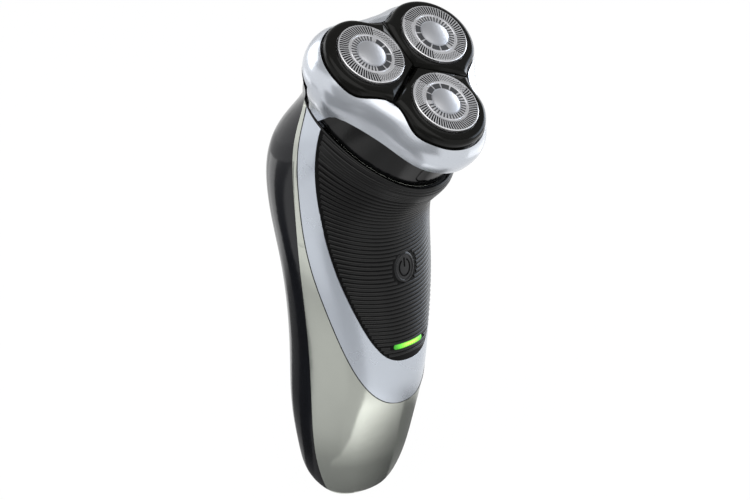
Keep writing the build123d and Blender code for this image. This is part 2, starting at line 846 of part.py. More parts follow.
frame_bottom = frame_top_level - frame_thickness
arm_angles = [angle + 180 for angle in head_angles]
arm_reach = 21.4
ledge_reach = 18.0
ledges = [common(block(centre_plane(angle), (ledge_reach, 24.0), (-frame_arm_width / 2, frame_arm_width / 2),
                       (frame_bottom - frame_ledge, frame_bottom), centred_x=False), housing_outer)
          for angle in arm_angles]
latch_reach = neck_top_half_depth - neck_top_centre + 0.2
latch = common(block(centre_plane(-90), (latch_reach, latch_reach + 6), (-5.0, 5.0),
                     (housing_edge_level + 0.2, housing_edge_level + 2.2), centred_x=False), housing_outer)
frame_screw_reach = ledge_reach + 1.4
frame_screw_bores = [rod(centre_plane(angle, frame_bottom - frame_ledge - 1), screw_bore,
                         frame_ledge + frame_thickness + 1.1, frame_screw_reach)
                     for angle in arm_angles]
hair_chamber = trimmed(joined(trimmed(common(housing_outer, wing_zone), cavity, pocket, hinge_room),
                              *hinge_ears, *ledges, latch),
                       across_hinge(hinge_pin_radius + running_gap, -hinge_span - 1, hinge_span + 1),
                       *frame_screw_bores)
save(hair_chamber.solids().sort_by(SortBy.VOLUME)[-1], "hair_chamber")

# pivot frame: hub with three arms between the heads, and a post for the rocker pins
pin_planes = [Plane(origin=centre_plane(angle, rocker_level).origin + centre_plane(angle).x_dir * rocker_reach,
                    x_dir=centre_plane(angle).x_dir, z_dir=centre_plane(angle).y_dir) for angle in head_angles]
with BuildPart() as pivot_frame:
    with BuildSketch(head_plane(frame_bottom)):
        Circle(frame_hub_radius)
    extrude(amount=frame_thickness)
    for angle in arm_angles:
        with BuildSketch(centre_plane(angle, frame_bottom)):
            with Locations((arm_reach / 2, 0)):
                Rectangle(arm_reach, frame_arm_width)
        extrude(amount=frame_thickness)
    with BuildSketch(head_plane(frame_bottom)):
        Circle(rocker_post_radius)
    extrude(amount=rocker_post_top - frame_bottom)
    for angle in head_angles:
        with BuildSketch(centre_plane(angle, rocker_level - rocker_lug_radius - 0.25)):
            with Locations(((rocker_post_radius + 1.9) / 2, 0)):
                Rectangle(rocker_post_radius + 0.1, rocker_lug_width + 2 * sliding_gap)
        extrude(amount=5, mode=Mode.SUBTRACT)
pivot_frame = trimmed(common(pivot_frame.part, housing_outer), *frame_screw_bores,
                      *[rod(plane.offset(-rocker_pin_length / 2), rocker_pin_radius + 0.01, rocker_pin_length)
                        for plane in pin_planes])
save(pivot_frame, "pivot_frame")

with BuildPart() as rocker_pins:
    for plane in pin_planes:
        with BuildSketch(plane.offset(-rocker_pin_length / 2)):
            Circle(rocker_pin_radius)
        extrude(amount=rocker_pin_length)
save(rocker_pins.part, "rocker_pins")

with BuildPart() as frame_screws:
    for angle in arm_angles:
        with BuildSketch(centre_plane(angle, frame_top_level)):
            with Locations((frame_screw_reach, 0)):
                Circle(screw_head_radius)
        extrude(amount=0.7)
        with BuildSketch(centre_plane(angle, frame_top_level)):
            with Locations((frame_screw_reach, 0)):
                Circle(screw_thread_radius)
        extrude(amount=-frame_thickness - frame_ledge + 0.2)
save(frame_screws.part, "frame_screws")

# ================================================================ heads
with BuildPart() as holder:
    with BuildSketch(head_plane(lobe_bottom_level)):
        with BuildLine():
            Spline(*trilobe_outline(lobe_radius, lobe_notch), periodic=True)
        make_face()
    extrude(amount=lobe_top_level - lobe_bottom_level)
    fillet(holder.edges().group_by(Axis(head_centre, head_normal))[-1], lobe_edge_radius)
grooves = []
for angle in arm_angles:
    along = centre_plane(angle)
    with BuildPart() as groove:
        with BuildSketch(Plane(origin=head_centre, x_dir=along.y_dir, z_dir=along.x_dir)):
            with BuildLine():
                Polyline((0, lobe_top_level - 1.9), (-groove_half_width, lobe_top_level + 0.1),
                         (groove_half_width, lobe_top_level + 0.1), close=True)
            make_face()
        extrude(amount=30)
    grooves.append(groove.part)
holder_form = trimmed(holder.part, *grooves)

apex = lobe_gap / 2 / sin(pi / 3)
wedge_length = 50.0
shoulder_level = -guard_skirt + 0.1
counterbore_radius = guard_flange_radius + guard_hole_gap
blade_top = -guard_plate - cutter_gap
disc_top = blade_top - blade_height
blade_outer = guard_radius - guard_wall - 0.25
dome = ((cap_rise - cap_edge) ** 2 + cap_radius ** 2) / (2 * (cap_rise - cap_edge))
for name, angle, pin_plane in zip(head_names, head_angles, pin_planes):
    axis_at = lobe_plane(angle)
    section = Plane(origin=axis_at.origin, x_dir=axis_at.x_dir, z_dir=-axis_at.y_dir)
    spin = Axis(axis_at.origin, head_normal)
    with BuildPart() as wedge:
        with BuildSketch(centre_plane(angle, lobe_bottom_level - 1)):
            with BuildLine():
                Polyline((apex, 0), (apex + wedge_length, -wedge_length * tan(pi / 3)),
                         (apex + wedge_length, wedge_length * tan(pi / 3)), close=True)
            make_face()
        extrude(amount=12)
    lobe = trimmed(common(holder_form, wedge.part),
                   rod(lobe_plane(angle, lobe_bottom_level - 1), guard_radius + guard_hole_gap, 12),
                   rod(lobe_plane(angle, lobe_bottom_level - 1), counterbore_radius,
                       shoulder_level - lobe_bottom_level + 1))
    lug = block(centre_plane(angle), (rocker_reach - rocker_lug_radius, rocker_reach + rocker_lug_radius),
                (-rocker_lug_width / 2, rocker_lug_width / 2), (rocker_level, lobe_bottom_level + 0.4),
                centred_x=False)
    lug_end = rod(pin_plane.offset(-rocker_lug_width / 2), rocker_lug_radius, rocker_lug_width)
    head_frame = trimmed(joined(lobe, lug, lug_end), rod(pin_plane.offset(-5), rocker_pin_radius + running_gap, 10))
    save(head_frame, f"head_frame_{name}")

    # guard: slotted track, ring groove, skirt and flange
    with BuildPart() as guard:
        with BuildSketch(section):
            with BuildLine():
                Polyline((guard_inner_radius, -guard_plate), (guard_inner_radius, -cap_seat),
                         (cap_radius + 0.1, -cap_seat), (cap_radius + 0.1, 0), (track_inner_radius - 0.4, 0),
                         (track_inner_radius - 0.4, -groove_depth), (track_inner_radius - 0.1, -groove_depth),
                         (track_inner_radius - 0.1, 0), (track_outer_radius + 0.1, 0), (guard_radius, -0.6),
                         (guard_radius, -guard_skirt), (guard_flange_radius, -guard_skirt),
                         (guard_flange_radius, -guard_skirt - guard_flange),
                         (guard_radius - guard_wall, -guard_skirt - guard_flange),
                         (guard_radius - guard_wall, -guard_plate), close=True)
            make_face()
        revolve(axis=spin)
        with BuildSketch(axis_at):
            with PolarLocations((track_inner_radius + track_outer_radius) / 2, slot_count):
                Rectangle(track_outer_radius - track_inner_radius - 0.3, slot_width, rotation=slot_slant)
        extrude(amount=-guard_plate - 0.1, mode=Mode.SUBTRACT)
    save(guard.part, f"shaving_guard_{name}")

    # cap: shallow dome on the middle of the guard, with a stub through it
    with BuildPart() as cap:
        with BuildSketch(section):
            with BuildLine():
                Polyline((0, cap_rise), (0, -guard_plate), (guard_inner_radius - 0.02, -guard_plate),
                         (guard_inner_radius - 0.02, -cap_seat), (cap_radius, -cap_seat), (cap_radius, cap_edge))
                ThreePointArc((cap_radius, cap_edge),
                              (cap_radius / 2, cap_rise - dome + sqrt(dome ** 2 - cap_radius ** 2 / 4)),
                              (0, cap_rise))
            make_face()
        revolve(axis=spin)
    save(cap.part, f"guard_cap_{name}")

    # cutter: ring of slanted blades on a disc, with a driving hub under it
    with BuildPart() as cutter:
        with BuildSketch(lobe_plane(angle, disc_top)):
            Circle(blade_outer)
        extrude(amount=-cutter_disc)
        with BuildSketch(lobe_plane(angle, disc_top)):
            with PolarLocations((blade_inner_radius + cutter_hub_radius) / 2, 3):
                SlotOverall(3.4, 2.2, rotation=90)
        extrude(amount=-cutter_disc, mode=Mode.SUBTRACT)
        with BuildSketch(lobe_plane(angle, disc_top)):
            with PolarLocations((blade_inner_radius + blade_outer) / 2, blade_count):
                Rectangle(blade_outer - blade_inner_radius - 0.5, blade_thickness, rotation=blade_slant)
        extrude(amount=blade_height)
        with BuildSketch(lobe_plane(angle, disc_top)):
            Circle(cutter_hub_radius)
        extrude(amount=cutter_hub_bottom - disc_top)
        with BuildSketch(lobe_plane(angle, cutter_hub_bottom)):
            RegularPolygon(socket_radius, 6, major_radius=False)
        extrude(amount=disc_top - socket_roof - cutter_hub_bottom, mode=Mode.SUBTRACT)
    save(cutter.part, f"rotary_cutter_{name}")

    # retainer: spoked ring held in the frame under the guard
    hub_ring = cutter_hub_radius + 0.35
    with BuildPart() as retainer:
        with BuildSketch(lobe_plane(angle, retainer_top_level)):
            Circle(counterbore_radius - 0.01)
            Circle(counterbore_radius - 1.6, mode=Mode.SUBTRACT)
            Circle(hub_ring + 1.3)
            with PolarLocations((hub_ring + counterbore_radius) / 2, 3, start_angle=60):
                Rectangle(counterbore_radius - hub_ring - 1.4, 2.0)
            Circle(hub_ring, mode=Mode.SUBTRACT)
        extrude(amount=-retainer_thickness)
    save(retainer.part, f"cutter_retainer_{name}")

# ================================================================ controls on the front
button_bottom = button_skin.Y + wall + seat_gap + 1.4
plunger_end = board_front - switch_height - plunger_height
button_face = common(oval(facing(button_height, -front_reach), button_half_width, button_half_height,
                          front_reach + button_bottom), outer_form)
button_base = common(oval(facing(button_height, -front_reach), button_half_width + button_flange,
                          button_half_height + button_flange, front_reach + button_bottom), seat_form)
button_stem = rod(facing(button_height, button_bottom - 0.3), button_stem_radius,
                  plunger_end - button_travel - 0.1 - button_bottom + 0.3)
save(joined(button_face, button_base, button_stem), "power_button")

led_front = board_front - led_height
lens_bottom = lens_skin.Y + wall + 1.2
lens_face = common(lens_bar(lens_length, lens_width, -front_reach, front_reach + lens_bottom), outer_form)
lens_flange = common(lens_bar(lens_length + 0.8, lens_width + 1.6, -front_reach, front_reach + lens_bottom),
                     inner_form)
light_pipe = block(facing(lens_height, lens_bottom), light_pipe_length / 2, (-1.0, 1.0),
                   (-0.5, led_front - light_pipe_gap - lens_bottom))
save(joined(lens_face, lens_flange, light_pipe), "status_lens")

# ================================================================ electronics
board_back = board_front + board_thickness
post_places = [(x, z) for x in (-7.5, 7.5) for z in (board_bottom + 4, board_top - 4)]
with BuildPart() as circuit_board:
    with BuildSketch(facing((board_bottom + board_top) / 2, board_front)):
        RectangleRounded(board_width, board_top - board_bottom, 1.5)
    extrude(amount=board_thickness)
    for height, width, tall, proud in ((42.0, 7.0, 7.0, 1.1), (50.5, 4.0, 3.0, 0.9), (72.0, 9.0, 5.0, 1.3),
                                       (66.5, 3.0, 2.0, 0.8)):
        with BuildSketch(facing(height, board_front)):
            Rectangle(width, tall)
        extrude(amount=-proud)
    for x, height in post_places:
        with BuildSketch(facing(height, board_front, x)):
            Circle(screw_bore)
        extrude(amount=board_thickness, mode=Mode.SUBTRACT)
save(circuit_board.part, "circuit_board")

with BuildPart() as power_switch:
    with BuildSketch(facing(button_height, board_front)):
        RectangleRounded(switch_size, switch_size, 0.4)
    extrude(amount=-switch_height)
    with BuildSketch(facing(button_height, board_front - switch_height)):
        Circle(plunger_radius)
    extrude(amount=-plunger_height)
save(power_switch.part, "power_switch")
save(block(facing(lens_height, board_front), led_size / 2, (-led_size / 2, led_size / 2), (-led_height, 0)),
     "status_led")

chassis_front = chassis_back - chassis_thickness
with BuildPart() as board_screws:
    for x, height in post_places:
        with BuildSketch(facing(height, board_front, x)):
            Circle(screw_head_radius)
        extrude(amount=-0.8)
        with BuildSketch(facing(height, board_front, x)):
            Circle(screw_thread_radius)
        extrude(amount=board_thickness + 2.2)
save(board_screws.part, "board_screws")

# ================================================================ chassis and battery
chassis_middle = (chassis_bottom + chassis_top) / 2
battery_top = battery_bottom + battery_length
cradle_places = (battery_bottom + 11, battery_top - 11)
with BuildPart() as chassis_blank:
    with BuildSketch(facing(chassis_middle, chassis_front)):
        RectangleRounded(chassis_width, chassis_top - chassis_bottom, 2.0)
        for height in (chassis_bottom + 9, chassis_middle, chassis_top - 7):
            with Locations((0, chassis_middle - height)):
                Rectangle(60, 6)
    extrude(amount=chassis_thickness)
    for height in cradle_places:
        with BuildSketch(facing(height, chassis_back - 0.2)):
            Rectangle(2 * (battery_radius + cradle_wall), cradle_width)
        extrude(amount=battery_centre - chassis_back + 0.2)
    for x, height in post_places:
        with BuildSketch(facing(height, board_back, x)):
            Circle(board_post_radius)
        extrude(amount=chassis_front - board_back + 0.2)
battery_plane = Plane(origin=(0, battery_centre, battery_bottom), x_dir=(1, 0, 0), z_dir=(0, 0, 1))
tab_half_width = 2.5
tab_slots = [block(Plane((0, 0, level), x_dir=(1, 0, 0), z_dir=(0, 0, 1)), tab_half_width + 0.3,
                   (chassis_front - 1, chassis_back + 1), (-0.3, tab_thickness + 0.3))
             for level in (battery_bottom - tab_thickness, battery_top)]
chassis = trimmed(common(chassis_blank.part, inner_form),
                  rod(battery_plane.offset(-1), battery_radius + 0.02, battery_length + 2), *tab_slots,
                  *[rod(facing(height, board_back - 1, x), screw_bore, 4.0) for x, height in post_places])
save(chassis, "chassis")

with BuildPart() as battery_cell:
    with BuildSketch(battery_plane):
        Circle(battery_radius)
    extrude(amount=battery_length - 1.0)
    fillet(battery_cell.edges().group_by(Axis.Z)[-1], 0.6)
    fillet(battery_cell.edges().group_by(Axis.Z)[0], 0.6)
    with BuildSketch(battery_plane.offset(battery_length - 1.2)):
        Circle(2.6)
    extrude(amount=1.2)
save(battery_cell.part, "battery_cell")

with BuildPart() as battery_tabs:
    for level in (battery_bottom - tab_thickness, battery_top):
        with BuildSketch(Plane((0, 0, level), x_dir=(1, 0, 0), z_dir=(0, 0, 1))):
            with Locations((0, (battery_centre + board_back) / 2)):
                Rectangle(2 * tab_half_width, battery_centre - board_back)
            with Locations((0, battery_centre)):
                Circle(3.4)
        extrude(amount=tab_thickness)
save(battery_tabs.part, "battery_tabs")

# ================================================================ charging socket
socket_ear_reach = 8.9
with BuildPart() as charging_socket:
    with BuildSketch(Plane.XY):
        SlotOverall(socket_outer_length, socket_outer_width)
    extrude(amount=socket_height)
    with BuildSketch(Plane.XY.offset(floor_thickness)):
        Rectangle(2 * socket_ear_reach, 4.0)
    extrude(amount=1.2)
    with BuildSketch(Plane.XY):
        SlotOverall(socket_length, socket_width)
    extrude(amount=socket_depth, mode=Mode.SUBTRACT)
    with BuildSketch(Plane.XY):
        with Locations((-pin_spacing / 2, 0), (pin_spacing / 2, 0)):
            Circle(pin_radius + 0.01)
    extrude(amount=socket_height, mode=Mode.SUBTRACT)
save(charging_socket.part, "charging_socket")

with BuildPart() as socket_pins:
    with BuildSketch(Plane.XY.offset(pin_recess)):
        with Locations((-pin_spacing / 2, 0), (pin_spacing / 2, 0)):
            Circle(pin_radius)
    extrude(amount=socket_height + pin_tail - pin_recess)
save(socket_pins.part, "socket_pins")

# ================================================================ pop-up trimmer on the back
trimmer_foot = -trimmer_axis_down
trimmer_heel = rod(trimmer_across.offset(-trimmer_half_width), trimmer_heel_radius, 2 * trimmer_half_width)
cover_block = block(trimmer_plane, trimmer_half_width, (trimmer_foot, trimmer_up), (-pad_depth, pad_depth))
comb_rib = block(trimmer_plane, comb_width / 2 - 1, (trimmer_up - comb_length + 0.5, trimmer_up - 2.2),
                 (-comb_depth, 0))
under_cover = trimmed(handle_form(trimmer_cover_thickness), trimmer_heel, comb_rib)
cover_blank = trimmed(common(joined(cover_block, trimmer_heel), outer_form), under_cover)
trimmer_pins = rod(trimmer_across.offset(-trimmer_half_width - trimmer_pin_length), trimmer_pin_radius,
                   2 * (trimmer_half_width + trimmer_pin_length))
save(joined(cover_blank, trimmer_pins), "trimmer_cover")


def toothed_plate(width, low, high, teeth, depth, thickness):
    """Flat plate along the back of the handle with cutting teeth at its upper edge."""
    pitch = width / teeth
    plane = trimmer_plane.offset(-depth - thickness)
    with BuildPart() as solid:
        with BuildSketch(plane):
            with Locations((0, (low + high - tooth_length) / 2)):
                Rectangle(width, high - tooth_length - low)
            for tooth in range(teeth):
                with Locations(((tooth + 0.5) * pitch - width / 2, high - tooth_length)):
                    Trapezoid(pitch * 0.62, tooth_length, 80, align=(Align.CENTER, Align.MIN))
        extrude(amount=thickness)
    return solid.part


comb_foot = trimmer_up - comb_length
blade_depth = comb_depth + comb_thickness + blade_gap
guide_places = ((-4.0, comb_foot + 1.8), (4.0, comb_foot + 1.8))
guides = [rod(trimmer_plane.offset(-blade_depth - trimmer_blade_thickness - 0.2), 0.6,
              trimmer_blade_thickness + 0.2 + blade_gap + 0.2, x, y) for x, y in guide_places]
guide_heads = [rod(trimmer_plane.offset(-blade_depth - trimmer_blade_thickness - 0.2), 0.95, 0.15, x, y)
               for x, y in guide_places]
save(joined(toothed_plate(comb_width, comb_foot, trimmer_up, comb_teeth, comb_depth, comb_thickness),
            *guides, *guide_heads), "trimmer_comb")

guide_slots = []
for x, y in guide_places:
    with BuildPart() as guide_slot:
        with BuildSketch(trimmer_plane.offset(-pad_depth)):
            with Locations((x, y)):
                SlotOverall(2 * (0.6 + trimmer_stroke + 0.15), 1.3)
        extrude(amount=pad_depth)
    guide_slots.append(guide_slot.part)
save(trimmed(toothed_plate(comb_width - 2 * trimmer_stroke, comb_foot + 0.6, trimmer_up - 0.3, comb_teeth - 1,
                           blade_depth, trimmer_blade_thickness), *guide_slots), "trimmer_blade")

# slide that lets the trimmer out: nub in its pocket, stem through the slot, plate inside
nub_clearance = 0.1
with BuildPart() as nub:
    with BuildSketch(slide_plane.offset(-slide_pocket + nub_clearance)):
        RectangleRounded(slide_width, slide_length, 1.2)
    extrude(amount=slide_pocket - nub_clearance + slide_rise)
    fillet(nub.edges().group_by(Axis(slide_plane.origin, slide_plane.z_dir))[-1], 0.3)
    with BuildSketch(slide_plane.offset(slide_rise)):
        with GridLocations(0, 1.5, 1, 3):
            Rectangle(slide_width - 2.6, 0.5)
    extrude(amount=-0.35, mode=Mode.SUBTRACT)
slide_inside = common(block(slide_plane, 4.0, (-4.0, 4.0), (-wall - 1.6, -wall - 0.55)), seat_form)
slide_stem_form = block(slide_plane, slide_stem / 2, (-slide_stem / 2, slide_stem / 2), (-wall - 1.0, 0))
save(joined(nub.part, slide_stem_form, slide_inside), "trimmer_slide")
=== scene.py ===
import json
import math
import bmesh
import bpy
from mathutils import Matrix, Vector
from mathutils.bvhtree import BVHTree
from mathutils.kdtree import KDTree


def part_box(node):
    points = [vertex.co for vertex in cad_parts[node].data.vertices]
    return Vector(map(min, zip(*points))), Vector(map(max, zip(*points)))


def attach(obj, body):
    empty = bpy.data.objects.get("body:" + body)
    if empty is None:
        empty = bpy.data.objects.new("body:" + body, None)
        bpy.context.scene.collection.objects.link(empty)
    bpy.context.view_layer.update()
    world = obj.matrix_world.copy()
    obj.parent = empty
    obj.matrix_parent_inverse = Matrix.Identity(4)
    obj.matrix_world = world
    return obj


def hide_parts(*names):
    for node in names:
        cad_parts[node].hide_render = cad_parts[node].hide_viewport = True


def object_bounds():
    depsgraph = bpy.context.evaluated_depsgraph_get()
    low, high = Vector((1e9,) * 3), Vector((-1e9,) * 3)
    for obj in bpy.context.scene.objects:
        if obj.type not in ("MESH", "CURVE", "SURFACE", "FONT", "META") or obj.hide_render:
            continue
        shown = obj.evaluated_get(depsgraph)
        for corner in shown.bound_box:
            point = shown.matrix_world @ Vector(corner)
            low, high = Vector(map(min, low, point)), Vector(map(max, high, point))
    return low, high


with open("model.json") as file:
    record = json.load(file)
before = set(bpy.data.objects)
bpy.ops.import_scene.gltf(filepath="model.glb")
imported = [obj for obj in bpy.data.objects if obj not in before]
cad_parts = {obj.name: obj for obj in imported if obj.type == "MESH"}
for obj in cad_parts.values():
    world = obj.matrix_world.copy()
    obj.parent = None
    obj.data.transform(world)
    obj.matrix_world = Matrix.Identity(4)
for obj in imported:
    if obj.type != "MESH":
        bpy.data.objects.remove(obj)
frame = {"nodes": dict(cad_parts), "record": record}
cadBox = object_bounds()
nodes = frame["nodes"]
headNames = ("front", "right", "left")
mm = 0.001

# the shaving unit leans forward: x across, y up the lean, z out of the guards
unit = {"lean": 36, "centre": (0, -27.5, 154.2), "reach": 26 / math.sqrt(3),
        "headTurns": {"front": -90, "right": 30, "left": 150}}
unitMatrix = Matrix.Translation(Vector(unit["centre"]) * mm) @ Matrix.Rotation(math.radians(unit["lean"]), 4, "X")


def headMatrix(name):
    angle = math.radians(unit["headTurns"][name])
    place = Vector((math.cos(angle), math.sin(angle), 0)) * unit["reach"] * mm
    return unitMatrix @ Matrix.Translation(place) @ Matrix.Rotation(angle, 4, "Z")


def linked(name, data):
    thing = bpy.data.objects.new(name, data)
    bpy.context.collection.objects.link(thing)
    return thing


def meshOf(name, verts, edges, faces):
    mesh = bpy.data.meshes.new(name)
    mesh.from_pydata(verts, edges, faces)
    return mesh


def roundPoint(radius, angle, height):  # from mm, about the z axis
    return Vector((radius * math.cos(angle), radius * math.sin(angle), height)) * mm


print("frame loaded:", len(nodes), "nodes")

# ---- camera and lamps
view = {"place": (-0.44309, -0.48311, 0.38603), "turn": (65.25, 0, -43.06), "lens": 109.37}
cameraData = bpy.data.cameras.new("studioCamera")
cameraData.lens = view["lens"]
camera = linked("studioCamera", cameraData)
camera.location = view["place"]
camera.rotation_euler = [math.radians(turn) for turn in view["turn"]]
bpy.context.scene.camera = camera
bpy.context.scene.view_settings.view_transform = "Standard"

lamps = {
    "topSoftbox": {"place": (-0.25, -0.35, 0.75), "aimHeight": 0.10, "size": (0.95, 0.80), "watts": 3.5,
                   "tint": (1.0, 0.99, 0.97), "mirrored": True},
    "leftPanel": {"place": (-0.75, -0.02, 0.30), "aimHeight": 0.09, "size": (0.22, 0.60), "watts": 1.8,
                  "tint": (0.88, 0.93, 1.0), "mirrored": False},
    "rightPanel": {"place": (0.62, 0.02, 0.20), "aimHeight": 0.09, "size": (0.25, 0.55), "watts": 1.8,
                   "tint": (0.90, 0.94, 1.0), "mirrored": True},
    "backRim": {"place": (-0.20, 0.60, 0.42), "aimHeight": 0.11, "size": (0.50, 0.35), "watts": 1.3,
                "tint": (0.95, 0.97, 1.0), "mirrored": True},
}
for lampName, lamp in lamps.items():
    lampData = bpy.data.lights.new(lampName, "AREA")
    lampData.shape = "RECTANGLE"
    lampData.size, lampData.size_y = lamp["size"]
    lampData.energy = lamp["watts"]
    lampData.color = lamp["tint"]
    lampObject = linked(lampName, lampData)
    lampObject.location = lamp["place"]
    aim = Vector((0, 0, lamp["aimHeight"])) - Vector(lamp["place"])
    lampObject.rotation_euler = aim.to_track_quat("-Z", "Y").to_euler()
    lampObject.visible_glossy = lamp["mirrored"]


# ---- short forms for node trees
def newTree(owner):
    owner.use_nodes = True
    owner.node_tree.nodes.clear()
    return owner.node_tree


def addNode(tree, kind, sockets=None, operation=None):  # each socket takes a value, or a link from another node
    node = tree.nodes.new(kind)
    if operation:
        node.operation = operation
    for socket, given in (sockets or {}).items():
        if isinstance(given, bpy.types.NodeSocket):
            tree.links.new(given, node.inputs[socket])
        else:
            node.inputs[socket].default_value = given
    return node


def setRamp(ramp, stops):
    for index, (position, shade) in enumerate(stops):
        stop = ramp.elements[index] if index < 2 else ramp.elements.new(position)
        stop.position = position
        stop.color = (*shade, 1)


def seenMix(tree, hidden, shown):  # shown is what the camera, mirrors and glass see
    rays = addNode(tree, "ShaderNodeLightPath").outputs
    clear = addNode(tree, "ShaderNodeMath", {0: rays["Is Glossy Ray"], 1: rays["Is Transmission Ray"]}, "MAXIMUM")
    seen = addNode(tree, "ShaderNodeMath", {0: rays["Is Camera Ray"], 1: clear.outputs[0]}, "MAXIMUM")
    return addNode(tree, "ShaderNodeMixShader", {0: seen.outputs[0], 1: hidden.outputs[0], 2: shown.outputs[0]})


# ---- white surroundings: a pale world and a floor that keeps the shadow
room = {"fill": (0.80, 0.84, 0.90, 1), "fillStrength": 0.30, "matte": (0.40, 0.41, 0.42, 1), "white": (1, 1, 1, 1),
        "floorGlow": 1.04, "glowShare": 0.95, "floorSize": 8}
world = bpy.data.worlds.new("studioWorld")
bpy.context.scene.world = world
worldTree = newTree(world)
fill = addNode(worldTree, "ShaderNodeBackground", {"Color": room["fill"], "Strength": room["fillStrength"]})
white = addNode(worldTree, "ShaderNodeBackground", {"Color": room["white"]})
addNode(worldTree, "ShaderNodeOutputWorld", {"Surface": seenMix(worldTree, fill, white).outputs[0]})

floorMaterial = bpy.data.materials.new("paleFloor")
floorTree = newTree(floorMaterial)
matte = addNode(floorTree, "ShaderNodeBsdfDiffuse", {"Color": room["matte"]})
bright = addNode(floorTree, "ShaderNodeEmission", {"Color": room["white"], "Strength": room["floorGlow"]})
pale = addNode(floorTree, "ShaderNodeMixShader", {0: room["glowShare"], 1: matte.outputs[0], 2: bright.outputs[0]})
addNode(floorTree, "ShaderNodeOutputMaterial", {"Surface": seenMix(floorTree, matte, pale).outputs[0]})
bpy.ops.mesh.primitive_plane_add(size=room["floorSize"], location=(0, 0, cadBox[0][2]))
floor = bpy.context.object
floor.name = "studioFloor"
floor.data.materials.append(floorMaterial)


# ---- cards that only polished parts mirror
def glowMaterial(name, tint, strength):
    material = bpy.data.materials.new(name)
    tree = newTree(material)
    light = addNode(tree, "ShaderNodeEmission", {"Color": (*tint, 1), "Strength": strength})
    addNode(tree, "ShaderNodeOutputMaterial", {"Surface": light.outputs[0]})
    return material, tree, light


def onlyMirrored(card):
    card.visible_camera = card.visible_diffuse = card.visible_shadow = card.visible_transmission = False


def placeCard(name, turns, steps, cornersAt, material):  # a strip swept round the shaver, turned from the front
    verts, faces = [], []
    for step in range(steps + 1):
        degrees = turns[0] + (turns[1] - turns[0]) * step / steps
        turn = math.radians(degrees)
        for radius, height in cornersAt(degrees):
            verts.append((radius * math.sin(turn), -radius * math.cos(turn), height))
        if step:
            faces.append((2 * step - 2, 2 * step - 1, 2 * step + 1, 2 * step))
    mesh = meshOf(name, verts, [], faces)
    mesh.materials.append(material)
    card = linked(name, mesh)
    onlyMirrored(card)


# fans on the floor: turns from the front, then stops of distance and shade; reach cuts a fan's rim, sweep dims it round
cards = {
    "leftCard": {"turns": (-75, -122), "stops": ((0.004, 0.17), (0.028, 0.30), (0.048, 0.58), (0.08, 0.72),
                                                 (0.10, 0.68), (0.13, 0.50), (0.155, 0.82), (0.18, 1.0))},
    "leftFrontCard": {"turns": (-48, -75), "stops": ((0.004, 0.17), (0.028, 0.30), (0.045, 0.62), (0.09, 0.62),
                                                     (0.12, 0.45), (0.2, 0.40), (0.5, 0.36), (2.4, 0.34))},
    "frontFarCard": {"turns": (-15, -48), "stops": ((0.32, 1.0), (0.42, 0.60), (0.5, 0.34), (2.4, 0.34))},
    "frontCard": {"turns": (-90, 38), "height": 0.0008, "sweep": (-46, 38, 1.0, 0.30),
                  "reach": ((-90, 0.0256), (-75, 0.030), (-60, 0.0405), (-46, 0.066), (38, 0.066)),
                  "stops": ((0.004, 0.15), (0.022, 0.28), (0.032, 0.64), (0.042, 1.35), (0.054, 1.95), (0.060, 1.55),
                            (0.066, 1.2))},
    "ribCard": {"turns": (42, 95), "stops": ((0.19, 1.0), (0.22, 1.7), (0.36, 1.7), (0.40, 1.3), (0.6, 1.0))},
    "rightCard": {"turns": (35, 130), "stops": ((0.004, 0.30), (0.03, 0.16), (0.05, 0.18), (0.065, 0.8), (0.08, 1.0))},
    "backLeftCard": {"turns": (-122, -146), "stops": ((0.004, 0.30), (0.03, 0.06), (0.15, 0.06), (0.25, 0.20),
                                                      (0.5, 0.5), (0.8, 0.8))},
    "backCard": {"turns": (-146, -178), "stops": ((0.004, 0.80), (0.03, 0.40), (0.07, 0.16), (0.13, 0.22), (0.17, 1.6),
                                                  (0.5, 1.9), (1.0, 1.2))},
    "scoopCard": {"turns": (-45, -100), "height": 0.095, "stops": ((0.07, 0.30), (0.5, 0.30))},
    "chamberCard": {"turns": (-98, -172), "height": 0.118, "stops": ((0.036, 0.80), (0.12, 0.85))},
}
fan = {"steps": 48, "lift": 0.0004, "strength": 2}  # a ramp stops at one, so it holds the shades over the strength


